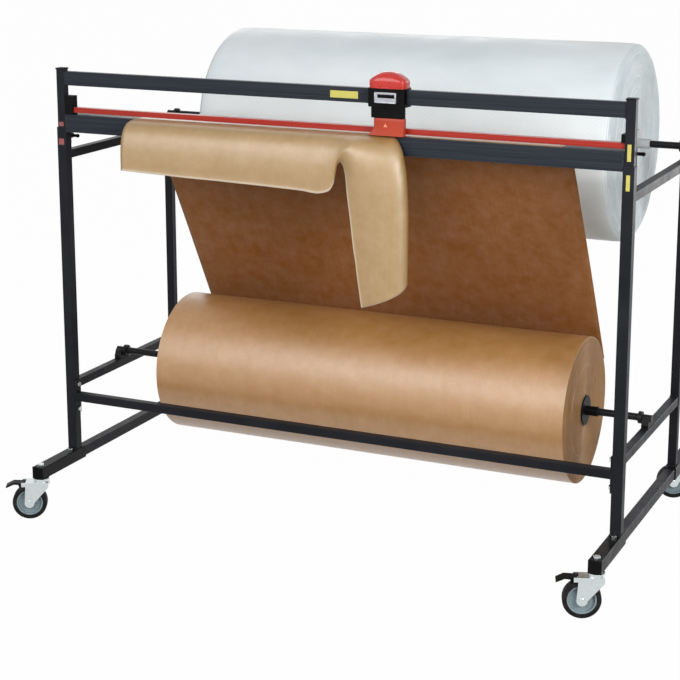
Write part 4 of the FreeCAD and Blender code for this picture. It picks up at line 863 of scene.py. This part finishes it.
def bevelled_box(low, high, bevel, segments=2):
    """Points and faces of a box with rounded edges."""
    mesh = bmesh.new()
    bmesh.ops.create_cube(mesh, size=1.0)
    for v in mesh.verts:
        v.co = Vector([a + (b - a) * (c + 0.5) for a, b, c in zip(low, high, v.co)])
    bmesh.ops.bevel(mesh, geom=list(mesh.edges), offset=bevel, segments=segments,
                    profile=0.5, affect="EDGES")
    points = [v.co.copy() for v in mesh.verts]
    faces = [tuple(v.index for v in f.verts) for f in mesh.faces]
    mesh.free()
    return points, faces


def joined_parts(parts):
    """Points and faces of several parts as those of one."""
    points, faces = [], []
    for more, quads in parts:
        base = len(points)
        points += more
        faces += [tuple(base + i for i in f) for f in quads]
    return points, faces


def domed_head(centre, radius, height, steps=24):
    """A low round screw head that faces the front, with a hexagon recess."""
    points = []
    # Shares of the radius and of the height, from the rim over the crown into the recess.
    rings = [(1.0, 0.0), (1.0, 0.35), (0.86, 0.8), (0.55, 1.0), (0.52, 0.35), (0.0, 0.35)]
    recess, sixth = 0.56, math.pi / 3
    for share, up in rings[:-1]:
        for a in circle_angles(steps):
            r = radius * share
            if share < recess:
                r *= math.cos(sixth / 2) / math.cos((a + sixth / 2) % sixth - sixth / 2)
            points.append(Vector((centre[0] + r * math.cos(a), centre[1] - height * up,
                                  centre[2] + r * math.sin(a))))
    faces = grid_faces(len(rings) - 1, steps, wrap_columns=True)
    points.append(Vector((centre[0], centre[1] - height * rings[-1][1], centre[2])))
    faces += fan_faces((len(rings) - 2) * steps, steps, len(points) - 1)
    return points, faces


def build_carriage_trim():
    """Rim, rivets and band of the blank plate, and the housing's ribs and screws."""
    front = LABEL_LOW.y
    rim, proud, sunk, rim_edge = 0.0022, 0.0009, 0.0002, 0.0003
    band_proud, band_edge, rib_proud, rib_sunk, rib_edge = 0.0005, 0.0002, 0.0011, 0.0006, 0.0005
    rails = []
    for low, high in (((LABEL_LOW.x, LABEL_LOW.z), (LABEL_HIGH.x, LABEL_LOW.z + rim)),
                      ((LABEL_LOW.x, LABEL_HIGH.z - rim), (LABEL_HIGH.x, LABEL_HIGH.z)),
                      ((LABEL_LOW.x, LABEL_LOW.z), (LABEL_LOW.x + rim, LABEL_HIGH.z)),
                      ((LABEL_HIGH.x - rim, LABEL_LOW.z), (LABEL_HIGH.x, LABEL_HIGH.z))):
        rails.append(bevelled_box((low[0], front - proud, low[1]),
                                  (high[0], front + sunk, high[1]), rim_edge))
    middle = (LABEL_LOW.z + LABEL_HIGH.z) / 2
    rivet_in, rivet_up, rivet_radius, rivet_high = 0.0065, 0.0075, 0.0022, 0.0011
    for x in (LABEL_LOW.x + rivet_in, LABEL_HIGH.x - rivet_in):
        rails.append(domed_head((x, front + 0.0001, LABEL_LOW.z + rivet_up), rivet_radius,
                                rivet_high))
    piece("label_rim", *joined_parts(rails), "label_metal", "carriage", "label_metal")
    wide, high = LABEL_HIGH.x - LABEL_LOW.x, LABEL_HIGH.z - LABEL_LOW.z
    band = bevelled_box(
        (LABEL_LOW.x + 0.14 * wide, front - band_proud, LABEL_LOW.z + 0.48 * high),
        (LABEL_HIGH.x - 0.09 * wide, front + sunk, LABEL_HIGH.z - 0.18 * high), band_edge)
    piece("label_band", *band, "black_plastic", "carriage", "black_plastic")
    ribs = []
    count, margin, past_label, half_rib = 4, 0.004, 0.006, 0.0009
    waist_low, waist_high = SHOE_HIGH.z, LABEL_LOW.z - margin
    body_front = LABEL_HIGH.y
    for k in range(count):
        z = waist_low + margin + (waist_high - waist_low - 2 * margin) * k / (count - 1)
        ribs.append(bevelled_box(
            (LABEL_LOW.x - past_label, body_front - rib_proud, z - half_rib),
            (LABEL_HIGH.x + past_label, body_front + rib_sunk, z + half_rib), rib_edge))
    screw_in, screw_radius, screw_high = 0.012, 0.0032, 0.0018
    for x in (BODY_LOW.x + screw_in, BODY_HIGH.x - screw_in):
        ribs.append(domed_head((x, body_front, middle), screw_radius, screw_high))
    piece("housing_ribs", *joined_parts(ribs), "black_plastic", "carriage", "black_plastic")


def build_shoe(settings):
    """Red shoe, upright on its right and flared at its left foot, with a raised pointer."""
    axis = BLADE_AXIS.x
    left, right = SHOE_LOW.x - axis, SHOE_HIGH.x - axis
    narrow = left + settings.carriage.flare
    gap, forward, slim = 0.0018, 0.0022, 0.95
    front, back = SHOE_LOW.y, SHOE_HIGH.y - gap
    levels = [0, 0.02, 0.06, 0.12, 0.2, 0.28, 0.36, 0.44, 0.52, 0.6, 0.8, 0.94, 0.985, 1.0]
    steps, plan, flare_top = 96, 9, 0.52
    top_edge, foot_edge, most_lean, most_bow = 0.0016, 0.0012, 0.0022, 0.0016
    top_from, top_over, foot_over = 0.94, 0.06, 0.02
    points = []
    for share in levels:
        start = narrow + (left - narrow) * (1 - min(1.0, share / flare_top)) ** 1.6
        tuck = max(top_edge * max(0.0, (share - top_from) / top_over) ** 2,
                   foot_edge * max(0.0, (foot_over - share) / foot_over))
        lean = most_lean * (1 - share) ** 2
        middle, half, deep = (start + right) / 2, (right - start) / 2, (back - front) / 2
        z = SHOE_LOW.z + share * (SHOE_HIGH.z - SHOE_LOW.z)
        for x, y in soft_plan(half - tuck, deep - tuck, plan, steps):
            bow = most_bow * (1 - (x / half) ** 2) if y < 0 else 0
            points.append((axis + middle + x,
                           (front + back) / 2 + forward + y * slim - lean - bow, z))
    faces = grid_faces(len(levels), steps, wrap_columns=True)
    faces.append(tuple(range(steps))[::-1])
    faces.append(tuple((len(levels) - 1) * steps + k for k in range(steps)))
    parts = [([Vector(p) for p in points], faces)]
    boss, radius, around, boss_sunk, blade_gap = [], 0.006, 32, 0.004, 0.0006
    for y in (back - boss_sunk, BLADE_AXIS.y - blade_gap):
        for a in circle_angles(around):
            boss.append(Vector((axis + radius * math.cos(a), y,
                                BLADE_AXIS.z + radius * math.sin(a))))
    parts.append((boss, grid_faces(2, around, wrap_columns=True)
                  + [tuple(range(around))[::-1], tuple(range(around, 2 * around))]))
    made = piece("shoe_moulding", *joined_parts(parts), "shoe_plastic", "carriage",
                 "red_plastic", 40)
    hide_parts("carriage_shoe")
    build_pointer(axis + (narrow + right) / 2 - 0.008, front)


def build_pointer(middle, front):
    """A triangle sunk into the shoe's front, with a smaller raised face."""
    half, high, thick, sunk, raised = 0.0065, 0.010, 0.0010, 0.0014, 0.86
    y, z = front + sunk, SHOE_LOW.z + 0.60 * (SHOE_HIGH.z - SHOE_LOW.z)
    corners = [(-half, z - high / 2), (half, z - high / 2), (0, z + high / 2)]
    pointer = [Vector((middle + x, y, zz)) for x, zz in corners]
    pointer += [Vector((middle + raised * x, y - thick - sunk, z - high / 6
                        + raised * (zz - z + high / 6))) for x, zz in corners]
    pointer_faces = [(0, 1, 4, 3), (1, 2, 5, 4), (2, 0, 3, 5), (3, 4, 5), (2, 1, 0)]
    piece("shoe_pointer", pointer, pointer_faces, "pointer_mark", "carriage", "red_plastic")


# ---- Frame details -----------------------------------------------------------------

def weld_bead(centre, first, second, half_first, half_second, radius, ripples):
    """A rippled bead round a square tube's end, where it meets a flat face."""
    corners = [(-1, -1), (1, -1), (1, 1), (-1, 1)]
    path = []
    per_ripple = 3
    for (a, b), (c, d) in zip(corners, corners[1:] + corners[:1]):
        for k in range(ripples * per_ripple):
            t = k / (ripples * per_ripple)
            path.append(centre + first * (half_first * (a + (c - a) * t))
                        + second * (half_second * (b + (d - b) * t)))
    count, around = len(path), 8
    points = []
    for k, spot in enumerate(path):
        out = (spot - centre).normalized()
        normal = first.cross(second)
        ripple = 0.18 * math.cos(2 * math.pi * k / per_ripple)
        uneven = 0.1 * soft_noise(spot.x * 90, spot.y * 90, spot.z * 90)
        size = radius * (0.82 + ripple + uneven)
        for a in circle_angles(around):
            points.append(spot + out * (size * math.cos(a)) + normal * (size * math.sin(a)))
    return points, grid_faces(count, around, wrap_rows=True, wrap_columns=True)


def tube_ends(node, axis):
    """Centre, two cross directions and half sizes at both ends of each tube of a node."""
    spots = []
    for low, high in solid_boxes(node):
        middle = (low + high) / 2
        half = (high - low) / 2
        others = [k for k in range(3) if k != axis]
        first, second = (Vector([1.0 if k == o else 0.0 for k in range(3)]) for o in others)
        for end in (low[axis], high[axis]):
            centre = middle.copy()
            centre[axis] = end
            spots.append((centre, first, second, half[others[0]], half[others[1]]))
    return spots


def solid_boxes(node):
    """The box of each separate solid in a node, from its connected faces."""
    mesh = bmesh.new()
    mesh.from_mesh(frame["nodes"][node].data)
    bmesh.ops.remove_doubles(mesh, verts=mesh.verts, dist=1e-6)
    mesh.verts.ensure_lookup_table()
    seen, boxes = set(), []
    for start in mesh.verts:
        if start.index in seen:
            continue
        seen.add(start.index)
        stack, members = [start], []
        while stack:
            vert = stack.pop()
            members.append(vert.co)
            for edge in vert.link_edges:
                other = edge.other_vert(vert)
                if other.index not in seen:
                    seen.add(other.index)
                    stack.append(other)
        boxes.append((Vector([min(c[k] for c in members) for k in range(3)]),
                      Vector([max(c[k] for c in members) for k in range(3)])))
    mesh.free()
    return boxes


def build_welds(settings):
    """Beads where side rails meet posts, posts meet sleeves and the guide rail its uprights."""
    metal = settings.frame
    beads = {"frame": [], "cutting_unit": []}
    for node, axis, body in (("upper_side_rails", 1, "frame"), ("lower_side_rails", 1, "frame"),
                             ("guide_rail", 0, "cutting_unit")):
        for spot in tube_ends(node, axis):
            beads[body].append(weld_bead(*spot, metal.weld_radius, metal.weld_ripples))
    for node in ("left_front_post", "right_front_post", "left_rear_post", "right_rear_post"):
        foot = tube_ends(node, 2)[0]
        beads["frame"].append(weld_bead(*foot, metal.weld_radius, metal.weld_ripples))
    for body, parts in beads.items():
        piece(f"{body}_welds", *joined_parts(parts), "frame_paint", body, "frame_paint", 60)


def build_labels():
    """Blank labels: one on the guide rail, two on the right post, two marks on the left."""
    left_x = (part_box("left_upright")[0].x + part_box("left_upright")[1].x) / 2
    right_x = (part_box("right_upright")[0].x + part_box("right_upright")[1].x) / 2
    thick, bevel, top = 0.0004, 0.00015, BEAM_HIGH.z
    guide = (GUIDE_LOW.z + GUIDE_HIGH.z) / 2
    # Name, finish, body, middle and half width in X, lower and upper edge, face in Y.
    plates = (
        ("guide_label", "yellow_label", "cutting_unit", MIDDLE_X + 0.0585, 0.0405,
         guide - 0.010, guide + 0.009, GUIDE_LOW.y),
        ("right_upper_label", "yellow_label", "cutting_unit", right_x, 0.005,
         top - 0.024, top + 0.019, UPRIGHT_FRONT),
        ("right_lower_label", "yellow_label", "frame", right_x, 0.005,
         top - 0.098, top - 0.058, POST_FRONT),
        ("left_upper_mark", "red_mark", "cutting_unit", left_x, 0.0075,
         top - 0.0345, top - 0.022, UPRIGHT_FRONT),
        ("left_lower_mark", "red_mark", "frame", left_x, 0.009,
         top - 0.088, top - 0.070, POST_FRONT),
    )
    for name, look, body, x, half, low, high, face in plates:
        plate = bevelled_box((x - half, face - thick, low), (x + half, face, high), bevel, 1)
        piece(name, *plate, look, body)


# ---- Stage -------------------------------------------------------------------------

WHITE = (1, 1, 1, 1)
ROOM_LIGHT, ROOM_STRENGTH = (1.0, 0.99, 0.97, 1), 0.21
FLOOR_REACH, FLOOR_GLOW = 60.0, 0.985
SENSOR_WIDTH_MM, CLIP_END = 36.0, 200.0
# Name, place, what it aims at, width, height and watts.
LAMPS = (
    ("front key", (-0.7, -3.7, 2.6), (0.0, -0.2, 0.9), 4.2, 2.3, 122),
    ("right key", (3.2, -2.4, 2.2), (0.6, -0.2, 0.9), 1.3, 1.8, 104),
    ("right rear", (2.5, 3.5, 1.3), (0.7, 0, 0.8), 1.6, 2.2, 60),
    ("left rear", (-1.8, 3.4, 2.8), (0, 0.3, 1.0), 2.4, 1.6, 24),
)


def seen_directly(tree):
    """1 for camera, glossy and transmission rays, 0 for the light that falls on things."""
    path = add_node(tree, "ShaderNodeLightPath")
    total = path.outputs["Is Camera Ray"]
    for ray in ("Is Glossy Ray", "Is Transmission Ray"):
        total = add_node(tree, "ShaderNodeMath", {0: total, 1: path.outputs[ray]},
                         operation="MAXIMUM").outputs[0]
    return total


def plain_surface(name, colour, glow):
    """Matte surface that shows as nearly white to the camera and in reflections."""
    material = bpy.data.materials.new(name)
    material.use_nodes = True
    tree = material.node_tree
    tree.nodes.clear()
    matte = add_node(tree, "ShaderNodeBsdfDiffuse", {"Color": (*colour, 1)})
    bright = add_node(tree, "ShaderNodeEmission", {"Color": WHITE})
    share = add_node(tree, "ShaderNodeMath", {0: seen_directly(tree), 1: glow},
                     operation="MULTIPLY")
    mix = add_node(tree, "ShaderNodeMixShader", {0: share.outputs[0], 1: matte.outputs[0],
                                                 2: bright.outputs[0]})
    add_node(tree, "ShaderNodeOutputMaterial", {"Surface": mix.outputs[0]})
    return material


def build_world():
    """Even pale light all round, pure white where the camera or a reflection sees it."""
    world = bpy.data.worlds.new("soft room")
    bpy.context.scene.world = world
    world.use_nodes = True
    tree = world.node_tree
    tree.nodes.clear()
    room = add_node(tree, "ShaderNodeBackground", {"Color": ROOM_LIGHT,
                                                   "Strength": ROOM_STRENGTH})
    white = add_node(tree, "ShaderNodeBackground", {"Color": WHITE, "Strength": 1.0})
    mix = add_node(tree, "ShaderNodeMixShader", {0: seen_directly(tree), 1: room.outputs[0],
                                                 2: white.outputs[0]})
    add_node(tree, "ShaderNodeOutputWorld", {"Surface": mix.outputs[0]})


def soft_lamp(name, place, aim, wide, high, power):
    data = bpy.data.lights.new(name, "AREA")
    data.shape = "RECTANGLE"
    data.size, data.size_y = wide, high
    data.energy = power
    lamp = bpy.data.objects.new(name, data)
    lamp.location = place
    lamp.rotation_euler = (Vector(aim) - Vector(place)).to_track_quat("-Z", "Y").to_euler()
    bpy.context.scene.collection.objects.link(lamp)


def build_stage(settings):
    stage = settings.stage
    scene = bpy.context.scene
    mesh = bpy.data.meshes.new("floor")
    far = FLOOR_REACH
    mesh.from_pydata([(-far, -far, 0), (far, -far, 0), (far, far, 0), (-far, far, 0)], [],
                     [(0, 1, 2, 3)])
    mesh.materials.append(plain_surface("pale floor", stage.floor, FLOOR_GLOW))
    floor = bpy.data.objects.new("floor", mesh)
    scene.collection.objects.link(floor)
    build_world()
    for lamp in LAMPS:
        soft_lamp(*lamp)
    data = bpy.data.cameras.new("camera")
    data.lens = stage.lens
    data.sensor_width = SENSOR_WIDTH_MM
    data.shift_y = stage.camera_shift
    data.clip_end = CLIP_END
    camera = bpy.data.objects.new("camera", data)
    camera.location = stage.camera_place
    camera.rotation_euler = (math.pi / 2 - stage.camera_down, 0, stage.camera_left)
    scene.collection.objects.link(camera)
    scene.camera = camera
    scene.view_settings.view_transform = "Standard"


# ---- Operators ---------------------------------------------------------------------

class STAND_OT_finishes(bpy.types.Operator):
    """Make every finish and give it to the frame's own parts"""

    bl_idname = "stand.finishes"
    bl_label = "Finishes"

    def execute(self, context):
        make_finishes(context.scene.stand)
        return {"FINISHED"}


class STAND_OT_paper_roll(bpy.types.Operator):
    """Build the kraft roll with the rings of its ends"""

    bl_idname = "stand.paper_roll"
    bl_label = "Kraft roll"

    def execute(self, context):
        build_paper_roll(context.scene.stand)
        return {"FINISHED"}


class STAND_OT_paper_web(bpy.types.Operator):
    """Build the paper that rises from the roll to the beam"""

    bl_idname = "stand.paper_web"
    bl_label = "Paper web"

    def execute(self, context):
        build_paper_web(context.scene.stand)
        return {"FINISHED"}


class STAND_OT_paper_strip(bpy.types.Operator):
    """Build the half-cut strip that hangs in front of the beam"""

    bl_idname = "stand.paper_strip"
    bl_label = "Cut strip"

    def execute(self, context):
        build_paper_strip(context.scene.stand)
        return {"FINISHED"}


class STAND_OT_film_roll(bpy.types.Operator):
    """Build the bubble film roll with its soft layers"""

    bl_idname = "stand.film_roll"
    bl_label = "Bubble film roll"

    def execute(self, context):
        build_film_roll(context.scene.stand)
        return {"FINISHED"}


class STAND_OT_dome(bpy.types.Operator):
    """Build the carriage's crowned red cover"""

    bl_idname = "stand.dome"
    bl_label = "Carriage cover"

    def execute(self, context):
        build_dome(context.scene.stand)
        return {"FINISHED"}


class STAND_OT_shoe(bpy.types.Operator):
    """Build the carriage's flared red shoe and its pointer"""

    bl_idname = "stand.shoe"
    bl_label = "Carriage shoe"

    def execute(self, context):
        build_shoe(context.scene.stand)
        return {"FINISHED"}


class STAND_OT_carriage_trim(bpy.types.Operator):
    """Build the blank plate's rim and rivets and the housing's ribs"""

    bl_idname = "stand.carriage_trim"
    bl_label = "Carriage trim"

    def execute(self, context):
        build_carriage_trim()
        return {"FINISHED"}


class STAND_OT_welds(bpy.types.Operator):
    """Build the weld beads of the tube frame"""

    bl_idname = "stand.welds"
    bl_label = "Weld beads"

    def execute(self, context):
        build_welds(context.scene.stand)
        return {"FINISHED"}


class STAND_OT_labels(bpy.types.Operator):
    """Build the blank labels and marks"""

    bl_idname = "stand.labels"
    bl_label = "Blank labels"

    def execute(self, context):
        build_labels()
        return {"FINISHED"}


class STAND_OT_stage(bpy.types.Operator):
    """Set up the floor, the light and the camera"""

    bl_idname = "stand.stage"
    bl_label = "Stage"

    def execute(self, context):
        build_stage(context.scene.stand)
        return {"FINISHED"}


class STAND_PT_panel(bpy.types.Panel):
    """Lists the stand's pieces and their settings"""

    bl_label = "Cutting stand"
    bl_idname = "STAND_PT_panel"
    bl_space_type = "VIEW_3D"
    bl_region_type = "UI"
    bl_category = "Cutting stand"

    def draw(self, context):
        for operator in OPERATORS:
            self.layout.operator(operator.bl_idname)
        for group in SETTING_GROUPS:
            box = self.layout.box()
            settings = getattr(context.scene.stand, group)
            for name in settings.__annotations__:
                box.prop(settings, name)


SETTING_GROUPS = ("frame", "paper", "film", "carriage", "stage")
OPERATORS = (STAND_OT_finishes, STAND_OT_paper_roll, STAND_OT_paper_web, STAND_OT_paper_strip,
             STAND_OT_film_roll, STAND_OT_dome, STAND_OT_shoe, STAND_OT_carriage_trim,
             STAND_OT_welds, STAND_OT_labels, STAND_OT_stage)
CLASSES = (StandFrameSettings, StandPaperSettings, StandFilmSettings, StandCarriageSettings,
           StandStageSettings, StandSettings, *OPERATORS, STAND_PT_panel)


def register():
    for item in CLASSES:
        bpy.utils.register_class(item)
    bpy.types.Scene.stand = PointerProperty(type=StandSettings)


def unregister():
    del bpy.types.Scene.stand
    for item in reversed(CLASSES):
        bpy.utils.unregister_class(item)


def main():
    register()
    for operator in OPERATORS:
        group, name = operator.bl_idname.split(".")
        getattr(getattr(bpy.ops, group), name)()


if __name__ == "__main__":
    main()
